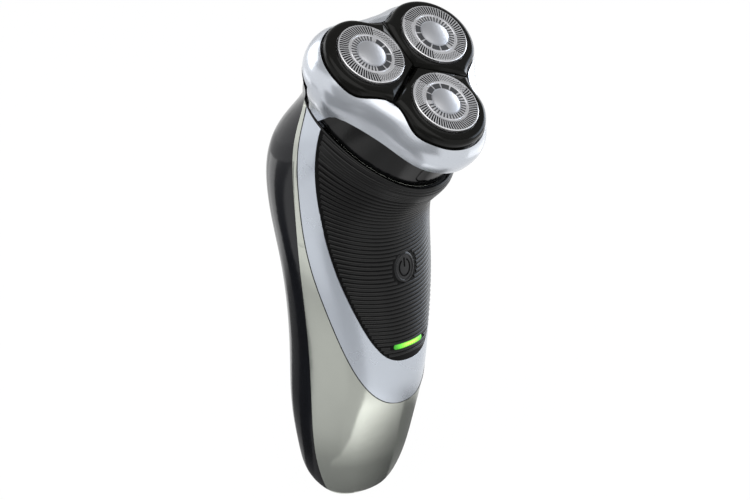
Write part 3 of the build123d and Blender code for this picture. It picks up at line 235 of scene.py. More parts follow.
def floorCard(name, spec):
    stops = spec["stops"]
    outer = stops[-1][0]
    level = cadBox[0][2] + spec.get("height", fan["lift"])
    rim = spec.get("reach", ())

    def cornersAt(degrees):
        reach = outer
        for (fromTurn, fromReach), (toTurn, toReach) in zip(rim, rim[1:]):
            if fromTurn <= degrees <= toTurn:
                reach = fromReach + (toReach - fromReach) * (degrees - fromTurn) / (toTurn - fromTurn)
        return (stops[0][0], level), (reach, level)

    material, tree, light = glowMaterial(name, (1, 1, 1), fan["strength"])
    place = addNode(tree, "ShaderNodeTexCoord").outputs["Object"]
    flat = addNode(tree, "ShaderNodeVectorMath", {0: place, 1: (1, 1, 0)}, "MULTIPLY")
    length = addNode(tree, "ShaderNodeVectorMath", {0: flat.outputs["Vector"]}, "LENGTH")
    share = addNode(tree, "ShaderNodeMapRange", {"Value": length.outputs["Value"], "From Max": outer})
    fade = addNode(tree, "ShaderNodeValToRGB", {"Fac": share.outputs["Result"]})
    setRamp(fade.color_ramp, [(radius / outer, [shade / fan["strength"]] * 3) for radius, shade in stops])
    tree.links.new(fade.outputs["Color"], light.inputs["Color"])
    if "sweep" in spec:
        fromTurn, toTurn, fromShade, toShade = spec["sweep"]
        split = addNode(tree, "ShaderNodeSeparateXYZ", {0: place})
        flip = addNode(tree, "ShaderNodeMath", {0: split.outputs["Y"], 1: -1}, "MULTIPLY")
        bearing = addNode(tree, "ShaderNodeMath", {0: split.outputs["X"], 1: flip.outputs[0]}, "ARCTAN2")
        dim = addNode(tree, "ShaderNodeMapRange", {
            "Value": bearing.outputs[0], "From Min": math.radians(fromTurn), "From Max": math.radians(toTurn),
            "To Min": fan["strength"] * fromShade, "To Max": fan["strength"] * toShade})
        tree.links.new(dim.outputs["Result"], light.inputs["Strength"])
    placeCard(name, spec["turns"], fan["steps"], cornersAt, material)


for cardName, card in cards.items():
    floorCard(cardName, card)

# upright: two grey flats for the shaving unit, and a cool softbox that the ribs catch
uprightSteps = 24
uprights = {
    "flatCard": {"turns": (-15, -80), "radius": 2.45, "low": 0.0, "high": 0.85, "shade": 0.38, "tint": (1, 1, 1)},
    "backFlat": {"turns": (115, 172), "radius": 1.5, "low": 0.05, "high": 0.60, "shade": 0.66, "tint": (1, 1, 1)},
    "rightSoftbox": {"turns": (46, 88), "radius": 1.0, "low": 0.14, "high": 0.62, "shade": 5.0,
                     "tint": (0.78, 0.87, 1.0)},
}


def uprightCard(name, spec):
    def cornersAt(degrees):
        return (spec["radius"], spec["low"]), (spec["radius"], spec["high"])

    material = glowMaterial(name, spec["tint"], spec["shade"])[0]
    placeCard(name, spec["turns"], uprightSteps, cornersAt, material)


for cardName, card in uprights.items():
    uprightCard(cardName, card)

# a grey cloth over the set keeps the heads from mirroring a white ceiling
ceiling = {"height": 1.3, "size": 4.0, "shade": 0.42}
bpy.ops.mesh.primitive_plane_add(size=ceiling["size"], location=(0, 0, ceiling["height"]))
cloth = bpy.context.object
cloth.name = "ceilingCloth"
cloth.data.materials.append(glowMaterial("ceilingCloth", (1, 1, 1), ceiling["shade"])[0])
onlyMirrored(cloth)
print("studio ready")

# ---- finishes: shade and its spread, metal, roughness from and to, grain size and depth in mm, clear coat, shine
plainFinish = {"spread": 0.25, "metal": 0.0, "grain": 0.2, "depth": 0.003, "coat": 0.0, "shine": 0.5,
               "broad": 45, "broadDetail": 4, "grainDetail": 2, "grainShare": 0.45, "ramp": (0.3, 0.7), "bump": 0.6,
               "coatRough": 0.08}
finishes = {
    "glossBlack": {"shade": (0.006, 0.0065, 0.009), "rough": (0.12, 0.18), "grain": 0.9, "depth": 0.002, "shine": 0.42},
    "champagne": {"shade": (0.57, 0.59, 0.53), "spread": 0.06, "metal": 0.80, "rough": (0.15, 0.19), "grain": 0.10,
                  "depth": 0.002, "coat": 0.3},
    "satinSilver": {"shade": (0.60, 0.64, 0.70), "spread": 0.05, "metal": 0.70, "rough": (0.24, 0.31), "grain": 0.10,
                    "coat": 0.3},
    "unitSilver": {"shade": (0.62, 0.65, 0.70), "spread": 0.05, "metal": 0.80, "rough": (0.20, 0.27), "grain": 0.10,
                   "coat": 0.3},
    "gripRubber": {"shade": (0.0045, 0.0045, 0.0045), "spread": 0.35, "rough": (0.24, 0.32), "grain": 0.22,
                   "depth": 0.005, "shine": 0.30},
    # painted shade: the grip panel takes a darker copy of the rib rubber, so the grooves between the ribs read dark
    "grooveShadeRubber": {"shade": (0.002, 0.002, 0.002), "spread": 0.15, "rough": (0.40, 0.48), "grain": 0.8,
                     "shine": 0.10},
    "markBlack": {"shade": (0.003, 0.003, 0.003), "spread": 0.1, "rough": (0.5, 0.6), "grain": 0.8, "depth": 0.002,
                  "shine": 0.05},
    "neckBlack": {"shade": (0.006, 0.006, 0.006), "rough": (0.14, 0.20), "grain": 0.8, "depth": 0.002, "shine": 0.30},
    "headBlack": {"shade": (0.006, 0.006, 0.005), "rough": (0.14, 0.20), "grain": 0.7, "depth": 0.002, "shine": 0.15},
    "buttonBlack": {"shade": (0.022, 0.022, 0.023), "rough": (0.30, 0.38), "grain": 0.25, "depth": 0.004, "shine": 0.3},
    "scaleGrey": {"shade": (0.045, 0.046, 0.050), "rough": (0.30, 0.40)},
    "ledWhite": {"shade": (0.80, 0.84, 0.78), "spread": 0.05, "rough": (0.3, 0.4), "grain": 0.3, "depth": 0.002},
    "boardGreen": {"shade": (0.015, 0.13, 0.05), "spread": 0.3, "rough": (0.30, 0.42), "grain": 0.6, "depth": 0.006,
                   "coat": 0.2},
    "mouldedBlack": {"shade": (0.018, 0.018, 0.020), "rough": (0.38, 0.50), "grain": 0.18, "depth": 0.010},
    "chassisGrey": {"shade": (0.17, 0.18, 0.20), "spread": 0.12, "rough": (0.40, 0.52), "depth": 0.010},
    "gearWhite": {"shade": (0.76, 0.74, 0.67), "spread": 0.06, "rough": (0.36, 0.46), "grain": 0.3, "depth": 0.005},
    "cellSleeve": {"shade": (0.02, 0.10, 0.30), "spread": 0.12, "rough": (0.22, 0.34), "grain": 1.2, "depth": 0.010,
                   "coat": 0.2},
    "nickel": {"shade": (0.66, 0.63, 0.57), "spread": 0.08, "metal": 1.0, "rough": (0.20, 0.32), "grain": 0.3},
    "motorCan": {"shade": (0.56, 0.56, 0.58), "spread": 0.10, "metal": 1.0, "rough": (0.30, 0.42), "grain": 0.5,
                 "depth": 0.004},
    "screwSteel": {"shade": (0.50, 0.51, 0.53), "spread": 0.10, "metal": 1.0, "rough": (0.25, 0.38), "depth": 0.004},
    "sealRubber": {"shade": (0.028, 0.028, 0.030), "spread": 0.2, "rough": (0.55, 0.70), "depth": 0.008},
    # painted shade: the rotary cutters take a dark copy of the blade steel, standing in for the shade under the guards
    "cutterShadeSteel": {"shade": (0.10, 0.10, 0.105), "spread": 0.10, "metal": 1.0, "rough": (0.35, 0.45), "grain": 0.12},
    "bladeSteel": {"shade": (0.60, 0.61, 0.63), "spread": 0.08, "metal": 1.0, "rough": (0.18, 0.28), "grain": 0.12},
}


def makeFinish(name, given):
    spec = {**plainFinish, **given}
    material = bpy.data.materials.new(name)
    tree = newTree(material)
    place = addNode(tree, "ShaderNodeTexCoord").outputs["Object"]
    broad = addNode(tree, "ShaderNodeTexNoise", {
        "Vector": place, "Scale": spec["broad"], "Detail": spec["broadDetail"]}).outputs["Fac"]
    grain = addNode(tree, "ShaderNodeTexNoise", {
        "Vector": place, "Scale": 1 / (spec["grain"] * mm), "Detail": spec["grainDetail"]}).outputs["Fac"]
    both = addNode(tree, "ShaderNodeMix", {0: spec["grainShare"], 2: broad, 3: grain})
    shades = addNode(tree, "ShaderNodeValToRGB", {"Fac": both.outputs[0]})
    shade, spread = Vector(spec["shade"]), spec["spread"]
    setRamp(shades.color_ramp, zip(spec["ramp"], (shade * (1 - spread), shade * (1 + spread))))
    polish = addNode(tree, "ShaderNodeMapRange", {
        "Value": broad, "To Min": spec["rough"][0], "To Max": spec["rough"][1]})
    bump = addNode(tree, "ShaderNodeBump", {"Height": grain, "Strength": spec["bump"], "Distance": spec["depth"] * mm})
    shader = addNode(tree, "ShaderNodeBsdfPrincipled", {
        "Base Color": shades.outputs["Color"], "Metallic": spec["metal"], "Roughness": polish.outputs["Result"],
        "Specular IOR Level": spec["shine"], "Coat Weight": spec["coat"], "Coat Roughness": spec["coatRough"],
        "Normal": bump.outputs["Normal"]})
    addNode(tree, "ShaderNodeOutputMaterial", {"Surface": shader.outputs[0]})
    return material, {"place": place, "colour": shades.outputs["Color"], "normal": bump.outputs["Normal"],
                      "shader": shader}


materials = {name: makeFinish(name, spec)[0] for name, spec in finishes.items()}

# guards and caps: turned steel with fine rings about each head's axis, and painted shade inside the slots below the top
# face
turned = {"shade": (0.86, 0.86, 0.88), "spread": 0.06, "metal": 1.0, "rough": (0.22, 0.32), "grain": 0.25,
          "rings": 3.2, "ringDepth": 0.004, "ringBump": 0.35, "wobble": 0.6, "slotPaintedShade": (0.02, 0.02, 0.022),
          "slotBelow": -0.05, "slotFrom": 6.95, "slotTo": 10.05}
domed = {**turned, "shade": (0.58, 0.59, 0.62), "rough": (0.30, 0.40), "rings": 2.4, "ringDepth": 0.006}


def turnedSteel(name, matrix, spec):
    material, parts = makeFinish(name, spec)
    tree = material.node_tree
    toAxis = addNode(tree, "ShaderNodeMapping", {
        "Vector": parts["place"], "Location": matrix.to_translation(), "Rotation": matrix.to_euler()})
    toAxis.vector_type = "TEXTURE"
    spot = toAxis.outputs["Vector"]
    flat = addNode(tree, "ShaderNodeVectorMath", {0: spot, 1: (1, 1, 0)}, "MULTIPLY").outputs["Vector"]
    rings = addNode(tree, "ShaderNodeTexWave", {
        "Vector": flat, "Scale": spec["rings"] / mm / 2, "Distortion": spec["wobble"]})
    rings.wave_type = "RINGS"
    rings.rings_direction = "SPHERICAL"
    ringBump = addNode(tree, "ShaderNodeBump", {
        "Height": rings.outputs["Fac"], "Normal": parts["normal"], "Strength": spec["ringBump"],
        "Distance": spec["ringDepth"] * mm})
    height = addNode(tree, "ShaderNodeSeparateXYZ", {0: spot}).outputs["Z"]
    radius = addNode(tree, "ShaderNodeVectorMath", {0: flat}, "LENGTH").outputs["Value"]
    # painted shade: the steel turns dark below the top face across the slot rows, standing in for the shade inside the
    # slots
    below = addNode(tree, "ShaderNodeMath", {0: height, 1: spec["slotBelow"] * mm}, "LESS_THAN")
    beyond = addNode(tree, "ShaderNodeMath", {0: radius, 1: spec["slotFrom"] * mm}, "GREATER_THAN")
    within = addNode(tree, "ShaderNodeMath", {0: radius, 1: spec["slotTo"] * mm}, "LESS_THAN")
    track = addNode(tree, "ShaderNodeMath", {0: beyond.outputs[0], 1: within.outputs[0]}, "MULTIPLY")
    walls = addNode(tree, "ShaderNodeMath", {0: track.outputs[0], 1: below.outputs[0]}, "MULTIPLY")
    darken = tree.nodes.new("ShaderNodeMix")
    darken.data_type = "RGBA"
    darken.inputs[7].default_value = (*spec["slotPaintedShade"], 1)
    for source, target in ((walls.outputs[0], darken.inputs[0]), (parts["colour"], darken.inputs[6]),
                           (darken.outputs[2], parts["shader"].inputs["Base Color"]),
                           (ringBump.outputs["Normal"], parts["shader"].inputs["Normal"])):
        tree.links.new(source, target)
    return material


for name in headNames:
    materials["turnedSteel_" + name] = turnedSteel("turnedSteel_" + name, headMatrix(name), turned)
    materials["domedSteel_" + name] = turnedSteel("domedSteel_" + name, headMatrix(name), domed)

# status lens: green moulding lit from behind, yellower in the middle and dark green at its rim
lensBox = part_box("status_lens")
glow = {"middle": (0.55, 0.95, 0.10), "body": (0.13, 0.66, 0.05), "rim": (0.015, 0.16, 0.01), "strength": 1.1,
        "rough": 0.25, "stops": (0.15, 0.60, 0.95), "centreX": 0.8, "halfLength": 7.2, "halfHeight": 1.35}


def litLens(spec):
    material = bpy.data.materials.new("litLens")
    tree = newTree(material)
    place = addNode(tree, "ShaderNodeTexCoord").outputs["Object"]
    split = addNode(tree, "ShaderNodeSeparateXYZ", {0: place})
    spans = []
    for axis, centre, half in (("X", spec["centreX"] * mm, spec["halfLength"] * mm),
                               ("Z", (lensBox[0][2] + lensBox[1][2]) / 2, spec["halfHeight"] * mm)):
        offset = addNode(tree, "ShaderNodeMath", {0: split.outputs[axis], 1: centre}, "SUBTRACT")
        away = addNode(tree, "ShaderNodeMath", {0: offset.outputs[0]}, "ABSOLUTE")
        span = addNode(tree, "ShaderNodeMapRange", {"Value": away.outputs[0], "From Max": half})
        spans.append(span.outputs["Result"])
    far = addNode(tree, "ShaderNodeMath", {0: spans[0], 1: spans[1]}, "MAXIMUM")
    shades = addNode(tree, "ShaderNodeValToRGB", {"Fac": far.outputs[0]})
    setRamp(shades.color_ramp, zip(spec["stops"], (spec["middle"], spec["body"], spec["rim"])))
    colour = shades.outputs["Color"]
    shader = addNode(tree, "ShaderNodeBsdfPrincipled", {
        "Base Color": colour, "Emission Color": colour, "Emission Strength": spec["strength"],
        "Roughness": spec["rough"]})
    addNode(tree, "ShaderNodeOutputMaterial", {"Surface": shader.outputs[0]})
    return material


materials["litLens"] = litLens(glow)

# which finish each node takes, and the body that the frame gives it
nodesIn = {
    "glossBlack": ("rear_shell", "trimmer_cover"), "champagne": ("front_shell",), "satinSilver": ("trim_band",),
    # the grip panel takes the darker rubber: painted shade between the ribs
    "grooveShadeRubber": ("grip_panel",), "neckBlack": ("neck_collar", "release_button"), "litLens": ("status_lens",),
    "ledWhite": ("status_led",), "boardGreen": ("circuit_board",), "cellSleeve": ("battery_cell",),
    "nickel": ("battery_tabs", "socket_pins"), "sealRubber": ("neck_seal",), "motorCan": ("motor",),
    "buttonBlack": ("power_button",), "unitSilver": ("hair_chamber",), "bladeSteel": ("trimmer_comb", "trimmer_blade"),
    "chassisGrey": ("chassis", "gear_plate"), "gearWhite": ("motor_pinion",),
    "screwSteel": ("board_screws", "hinge_pin", "motor_screws", "motor_shaft", "rocker_pins", "frame_screws"),
    "mouldedBlack": ("power_switch", "charging_socket", "drive_plate", "pivot_frame", "trimmer_slide"),
}
finishOf = {node: finish for finish, members in nodesIn.items() for node in members}
# the rotary cutters take the dark steel: painted shade under the guards
for name in headNames:
    finishOf.update({"drive_gear_" + name: "gearWhite", "drive_spindle_" + name: "gearWhite",
                     "head_frame_" + name: "headBlack", "cutter_retainer_" + name: "mouldedBlack",
                     "shaving_guard_" + name: "turnedSteel_" + name, "guard_cap_" + name: "turnedSteel_" + name,
                     "rotary_cutter_" + name: "cutterShadeSteel"})
bodyOf = {node: body for body, members in frame["record"]["behaviour"]["bodies"].items() for node in members}
for nodeName, node in nodes.items():
    node.data.materials.clear()
    node.data.materials.append(materials[finishOf[nodeName]])
print("finishes made:", len(materials))


def newPiece(name, mesh, body, material=None):
    piece = linked(name, mesh)
    if material:
        mesh.materials.clear()
        mesh.materials.append(material)
    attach(piece, body)
    return piece


def meshFrom(name, work, degrees=None, matrix=None):  # ends a bmesh: a mesh in its place, smooth up to an angle
    mesh = bpy.data.meshes.new(name)
    work.to_mesh(mesh)
    work.free()
    if matrix:
        mesh.transform(matrix)
    if degrees:
        mesh.shade_smooth()
        mesh.set_sharp_from_angle(angle=math.radians(degrees))
    return mesh


def surfaceOf(nodeName):
    node = nodes[nodeName]
    return BVHTree.FromPolygons([v.co for v in node.data.vertices], [tuple(p.vertices) for p in node.data.polygons])


# ---- visible mouldings: the CAD solids with their facets blended, from samples of the outer faces around each corner
blend = {"reach": 1.3, "grain": 0.7, "mostCuts": 10, "alike": 0.8, "limit": 28, "sliver": 0.03, "sliverLimit": 55,
         "sharp": 32, "clear": 0.02, "probe": 40, "speck": 1e-6, "weld": 0.001}


def outerSamples(nodeNames, shells):
    samples = []
    for nodeName in nodeNames:
        mesh = nodes[nodeName].data
        mesh.calc_loop_triangles()
        for triangle in mesh.loop_triangles:
            if triangle.area < blend["speck"] * mm * mm:
                continue
            a, b, c = (mesh.vertices[index].co for index in triangle.vertices)
            out = triangle.normal.copy()
            start = (a + b + c) / 3 + out * blend["clear"] * mm
            if any(shell.ray_cast(start, out, blend["probe"] * mm)[0] for shell in shells):
                continue
            longest = max((a - b).length, (b - c).length, (c - a).length)
            cuts = min(blend["mostCuts"], max(1, math.ceil(longest / (blend["grain"] * mm))))
            for i in range(cuts):
                for j in range(cuts - i):
                    u, v = (i + 1 / 3) / cuts, (j + 1 / 3) / cuts
                    samples.append((a * (1 - u - v) + b * u + c * v, out, triangle.area * 2 / (cuts * (cuts + 1))))
    tree = KDTree(len(samples))
    for index, sample in enumerate(samples):
        tree.insert(sample[0], index)
    tree.balance()
    return samples, tree


def blendNormals(mesh, samples, tree):
    reach = blend["reach"] * mm
    found = {}
    corners = [corner.vector.copy() for corner in mesh.corner_normals]
    for polygon in mesh.polygons:
        small = polygon.area < blend["sliver"] * mm * mm
        limit = math.cos(math.radians(blend["sliverLimit" if small else "limit"]))
        for loop in polygon.loop_indices:
            index = mesh.loops[loop].vertex_index
            if index not in found:
                total = Vector((0, 0, 0))
                for place, sample, distance in tree.find_range(mesh.vertices[index].co, reach):
                    share = 1 - distance / reach
                    out, area = samples[sample][1:]
                    if out.dot(polygon.normal) > blend["alike"]:
                        total += out * area * share * share
                found[index] = total.normalized() if total.length > 0 else None
            smooth = found[index]
            if smooth is not None and smooth.dot(polygon.normal) > limit:
                corners[loop] = smooth
    mesh.normals_split_custom_set(corners)


def mergedCopy(nodeName):
    work = bmesh.new()
    work.from_mesh(nodes[nodeName].data)
    bmesh.ops.remove_doubles(work, verts=work.verts, dist=blend["weld"] * mm)
    return meshFrom(nodeName + "Skin", work, blend["sharp"])


handleNodes = ("rear_shell", "front_shell", "trim_band", "grip_panel")
visibleNodes = [*handleNodes, "neck_collar", "hair_chamber", "trimmer_cover", "power_button", "release_button",
                "status_lens"] + ["head_frame_" + name for name in headNames]
blended = {}
for group in (handleNodes, ("hair_chamber",)):
    gathered = outerSamples(group, [surfaceOf(name) for name in group])
    blended.update({name: gathered for name in group})
    print("blended", group[0], len(gathered[0]), "samples")
for nodeName in visibleNodes:
    mesh = mergedCopy(nodeName)
    if nodeName in blended:
        blendNormals(mesh, *blended[nodeName])
    piece = newPiece(nodeName + "Skin", mesh, bodyOf[nodeName], materials[finishOf[nodeName]])
    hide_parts(nodeName)
print("mouldings smoothed:", len(visibleNodes))


# ---- geometry node trees
def newGeometryTree(name, inputs):
    tree = bpy.data.node_groups.new(name, "GeometryNodeTree")
    for inputName, socketType in (("Geometry", "NodeSocketGeometry"), *inputs, ("finish", "NodeSocketMaterial")):
        tree.interface.new_socket(inputName, in_out="INPUT", socket_type=socketType)
    tree.interface.new_socket("Geometry", in_out="OUTPUT", socket_type="NodeSocketGeometry")
    return tree, addNode(tree, "NodeGroupInput").outputs


def endTree(tree, given, geometry):  # every tree ends as plain faces in one finish
    real = addNode(tree, "GeometryNodeRealizeInstances", {"Geometry": geometry})
    paint = addNode(tree, "GeometryNodeSetMaterial", {
        "Geometry": real.outputs["Geometry"], "Material": given["finish"]})
    addNode(tree, "NodeGroupOutput", {"Geometry": paint.outputs["Geometry"]})
    return tree


def runTree(name, mesh, tree, values):
    source = linked(name + "Source", mesh)
    modifier = source.modifiers.new("build", "NODES")
    modifier.node_group = tree
    for item in tree.interface.items_tree:
        if item.item_type == "SOCKET" and item.in_out == "INPUT" and item.name in values:
            modifier[item.identifier] = values[item.name]
    bpy.context.view_layer.update()
    made = bpy.data.meshes.new_from_object(source.evaluated_get(bpy.context.evaluated_depsgraph_get()))
    bpy.data.objects.remove(source)
    made.name = name
    return made


def barTree():  # a round bar along every line of a mesh
    tree, given = newGeometryTree("barsAlongLines", (("barRadius", "NodeSocketFloat"), ("barSides", "NodeSocketInt")))
    toCurve = addNode(tree, "GeometryNodeMeshToCurve", {"Mesh": given["Geometry"]})
    outline = addNode(tree, "GeometryNodeCurvePrimitiveCircle", {
        "Radius": given["barRadius"], "Resolution": given["barSides"]})
    sweep = addNode(tree, "GeometryNodeCurveToMesh", {
        "Curve": toCurve.outputs["Curve"], "Profile Curve": outline.outputs["Curve"], "Fill Caps": True})
    smooth = addNode(tree, "GeometryNodeSetShadeSmooth", {"Geometry": sweep.outputs["Mesh"]})
    return endTree(tree, given, smooth.outputs["Geometry"])


def roundTree():  # copies of a tile round the z axis
    tree, given = newGeometryTree("tilesRoundAxis", (("count", "NodeSocketInt"), ("startTurn", "NodeSocketFloat"),
                                                     ("turnStep", "NodeSocketFloat")))
    line = addNode(tree, "GeometryNodeMeshLine", {"Count": given["count"], "Offset": (0, 0, 0)})
    index = addNode(tree, "GeometryNodeInputIndex").outputs[0]
    turn = addNode(tree, "ShaderNodeMath", {0: index, 1: given["turnStep"], 2: given["startTurn"]}, "MULTIPLY_ADD")
    aim = addNode(tree, "ShaderNodeCombineXYZ", {"Z": turn.outputs[0]})
    place = addNode(tree, "GeometryNodeInstanceOnPoints", {
        "Points": line.outputs["Mesh"], "Instance": given["Geometry"], "Rotation": aim.outputs[0]})
    return endTree(tree, given, place.outputs["Instances"])


bars, tilesRound = barTree(), roundTree()


def softened(spots, passes=3):
    for count in range(passes):
        inner = [(spots[i - 1] + spots[i] * 2 + spots[i + 1]) / 4 for i in range(1, len(spots) - 1)]
        spots = [spots[0], *inner, spots[-1]]
    return spots


def outAt(turn, side=1):  # level direction, turned from the front
    angle = math.radians(turn)
    return Vector((math.sin(angle) * side, -math.cos(angle), 0))


# ---- grip ribs: broad bars where tilted planes cut the grip, steeper and closer towards the neck
ribs = {"first": 57.4, "last": 123.4, "pitchLow": 1.34, "pitchHigh": 1.06, "pitchFrom": 88, "pitchOver": 30,
        "radius": 0.68, "sunk": 0.42, "sides": 16, "tiltLow": 6, "tiltHigh": 36, "tiltFrom": 68, "tiltTo": 125,
        "turnLimit": 100.0, "turnStep": 1.0, "away": 90, "graze": -0.2, "steepest": 0.93, "offCentre": 0.1,
        "front": -22.5, "margin": 0.7, "holeMargin": 0.5, "holeReach": 9, "passes": 6, "fewest": 4, "endSize": 0.5,
        "taperHigh": 3, "taperLow": 5, "taperFrom": 96}


def ribTilt(height):
    share = min(max((height - ribs["tiltFrom"]) / (ribs["tiltTo"] - ribs["tiltFrom"]), 0), 1)
    return math.radians(ribs["tiltLow"] + (ribs["tiltHigh"] - ribs["tiltLow"]) * share * share * (3 - 2 * share))


def ribPitch(height):
    share = min(max((height - ribs["pitchFrom"]) / ribs["pitchOver"], 0), 1)
    return ribs["pitchLow"] + (ribs["pitchHigh"] - ribs["pitchLow"]) * share


def ribRuns(grip, height):  # stretches where one tilted plane meets the outer face of the grip
    start = grip.ray_cast(Vector((ribs["offCentre"], -ribs["away"], height)) * mm, Vector((0, 1, 0)))[0]
    front = start.y if start else ribs["front"] * mm  # a miss is the hole of the button or the lens
    slope = math.tan(ribTilt(height))
    runs, run, turn = [], [], -ribs["turnLimit"]
    while turn <= ribs["turnLimit"]:
        out = outAt(turn)
        origin = out * ribs["away"] * mm
        origin.z = height * mm + (origin.y - front) * slope
        inward = Vector((-out.x, -out.y, -out.y * slope))
        spot, normal = grip.ray_cast(origin, inward.normalized())[:2]
        if spot is not None and normal.dot(inward) < ribs["graze"] and abs(normal.normalized().z) < ribs["steepest"]:
            run.append((spot, normal.normalized()))
        elif run:
            runs.append(run)
            run = []
        turn += ribs["turnStep"]
    return runs + [run] if run else runs


def ribLines():
    grip = surfaceOf("grip_panel")
    verts, edges, sizes = [], [], []
    height = ribs["first"]
    while height < ribs["last"]:
        taper = ribs["taperHigh" if height > ribs["taperFrom"] else "taperLow"]
        for run in ribRuns(grip, height):
            first, last = run[0][0], run[-1][0]
            margins = [ribs["holeMargin" if abs(end.x) < ribs["holeReach"] * mm else "margin"] * mm
                       for end in (first, last)]
            kept = [spot - normal * ribs["sunk"] * mm for spot, normal in run
                    if (spot - first).length > margins[0] and (spot - last).length > margins[1]]
            if len(kept) < ribs["fewest"]:
                continue
            base = len(verts)
            verts += softened(kept, ribs["passes"])
            edges += [(base + index, base + index + 1) for index in range(len(kept) - 1)]
            for index in range(len(kept)):
                fromEnd = min(index, len(kept) - 1 - index)
                sizes.append(min(1.0, ribs["endSize"] + (1 - ribs["endSize"]) * fromEnd / taper))
        height += ribPitch(height)
    mesh = meshOf("ribLines", verts, edges, [])
    mesh.attributes.new("radius", "FLOAT", "POINT").data.foreach_set("value", sizes)
    return mesh


ribMesh = runTree("gripRibs", ribLines(), bars, {"barRadius": ribs["radius"] * mm, "barSides": ribs["sides"],
                                                 "finish": materials["gripRubber"]})
newPiece("gripRibs", ribMesh, "handle")
print("grip ribs:", len(ribMesh.polygons), "faces")


def tubeThrough(spots, closed, radius, finish, sides=8):
    edges = [(index, index + 1) for index in range(len(spots) - 1)]
    if closed:
        edges.append((len(spots) - 1, 0))
    return runTree("tube", meshOf("tubeLine", spots, edges, []), bars,
                   {"barRadius": radius * mm, "barSides": sides, "finish": materials[finish]})


# ---- seams of the handle: a champagne lip beside the trim, and a dark line along it, a black tube standing in for the shade in the seam's gap (painted shade)
seams = {"line": 0.19, "lineSunk": 0.04, "lowest": 37.5, "highest": 140.4, "steps": 130, "crowd": 1.5, "away": 90,
         "startTurn": 130.0, "turnStep": 2.5, "halvings": 10}
lip = {"width": 3.4, "lift": 0.03, "bulge": 0.10, "depth": 0.35, "edge": 0.05, "across": 6, "startDip": 0.3,
       "dipRows": 4, "sharp": 50}
handleShells = [(name, surfaceOf(name)) for name in handleNodes]


def firstHit(start, direction):
    found = (math.inf, None, None, None)
    for name, shell in handleShells:
        spot, normal, index, distance = shell.ray_cast(start, direction)
        if spot is not None and distance < found[0]:
            found = (distance, name, spot, normal.normalized())
    return found


def hitAt(side, turn, height):
    out = outAt(turn, side)
    return firstHit(Vector((out.x * seams["away"], out.y * seams["away"], height)) * mm, -out)


def edgeBetween(side, height, inside):  # from the back round to the front, until the wanted shells begin
    turn = seams["startTurn"]
    while turn > 0 and hitAt(side, turn, height)[1] not in inside:
        turn -= seams["turnStep"]
    if turn <= 0 or turn == seams["startTurn"]:
        return None
    inner, outer = turn, turn + seams["turnStep"]
    for halving in range(seams["halvings"]):
        middle = (inner + outer) / 2
        if hitAt(side, middle, height)[1] in inside:
            inner = middle
        else:
            outer = middle
    return inner


def seamEdges(side):
    rows = []
    for step in range(seams["steps"] + 1):
        height = seams["lowest"] + (seams["highest"] - seams["lowest"]) * (step / seams["steps"]) ** seams["crowd"]
        inner = edgeBetween(side, height, ("trim_band", "grip_panel"))
        outer = edgeBetween(side, height, ("front_shell", "trim_band", "grip_panel"))
        if inner is not None and outer is not None:
            near, far = hitAt(side, inner, height), hitAt(side, outer, height)
            rows.append((near[2], far[2], (near[3] + far[3]).normalized(), near[3]))
    return rows


def lipMesh(rows):
    narrow = [row for row in rows if (row[0] - row[1]).length < lip["width"] * mm]
    near, far, out = (softened([row[k] for row in narrow]) for k in range(3))
    shares = [lip["edge"] + (1 - 2 * lip["edge"]) * k / (lip["across"] - 1) for k in range(lip["across"])]
    ring = lip["across"] + 2
    verts, faces = [], []
    for index in range(len(near)):
        lift = lip["lift"] - lip["startDip"] * max(0, 1 - index / lip["dipRows"])
        for share in shares:
            bulge = lip["bulge"] * 4 * share * (1 - share)
            verts.append(near[index].lerp(far[index], share) + out[index] * (lift + bulge) * mm)
        for share in (shares[-1], shares[0]):
            verts.append(near[index].lerp(far[index], share) - out[index] * lip["depth"] * mm)
        if index:
            low, high = (index - 1) * ring, index * ring
            faces += [(low + k, low + (k + 1) % ring, high + (k + 1) % ring, high + k) for k in range(ring)]
    faces += [tuple(reversed(range(ring))), tuple((len(near) - 1) * ring + k for k in range(ring))]
    work = bmesh.new()
    work.from_mesh(meshOf("lipDraft", verts, [], faces))
    bmesh.ops.recalc_face_normals(work, faces=work.faces)
    return meshFrom("champagneLip", work, lip["sharp"])


edgeRows = {side: seamEdges(side) for side in (-1, 1)}
for side, sideName in ((-1, "left"), (1, "right")):
    newPiece("champagneLip_" + sideName, lipMesh(edgeRows[side]), "handle",
             materials["champagne"])
# painted shade: a thin black tube sunk into the seam between the trim and the champagne shell
seamSpots = {side: softened([row[0] - row[3] * seams["lineSunk"] * mm for row in rows])
             for side, rows in edgeRows.items()}
newPiece("trimSeamShade", tubeThrough(seamSpots[-1][::-1] + seamSpots[1], False, seams["line"], "neckBlack"), "handle")

# ---- gasket under the neck, laid round the handle at one level of the shaving unit's lean
gasket = {"radius": 0.44, "sunk": 0.40, "up": 0.20, "level": -26.25, "forward": 1.65, "away": 60, "steps": 70,
          "turnStep": 1.8, "sides": 12}


def gasketSpots():
    lean = unitMatrix.to_3x3()
    up = lean @ Vector((0, 0, 1))
    spots = []
    for step in range(-gasket["steps"], gasket["steps"] + 1):
        out = outAt(step * gasket["turnStep"])
        start = Vector((out.x * gasket["away"], out.y * gasket["away"] - gasket["forward"], gasket["level"])) * mm
        name, spot = firstHit(unitMatrix @ start, (lean @ -out).normalized())[1:3]
        if name not in (None, "rear_shell"):
            spots.append(spot - lean @ out * gasket["sunk"] * mm + up * gasket["up"] * mm)
    return softened(spots, 2)


gasketLine = gasketSpots()
newPiece("neckGasket", tubeThrough(gasketLine, False, gasket["radius"], "neckBlack", gasket["sides"]), "handle")
print("seams drawn:", len(edgeRows[-1]), "steps a side,", len(gasketLine), "round the neck")

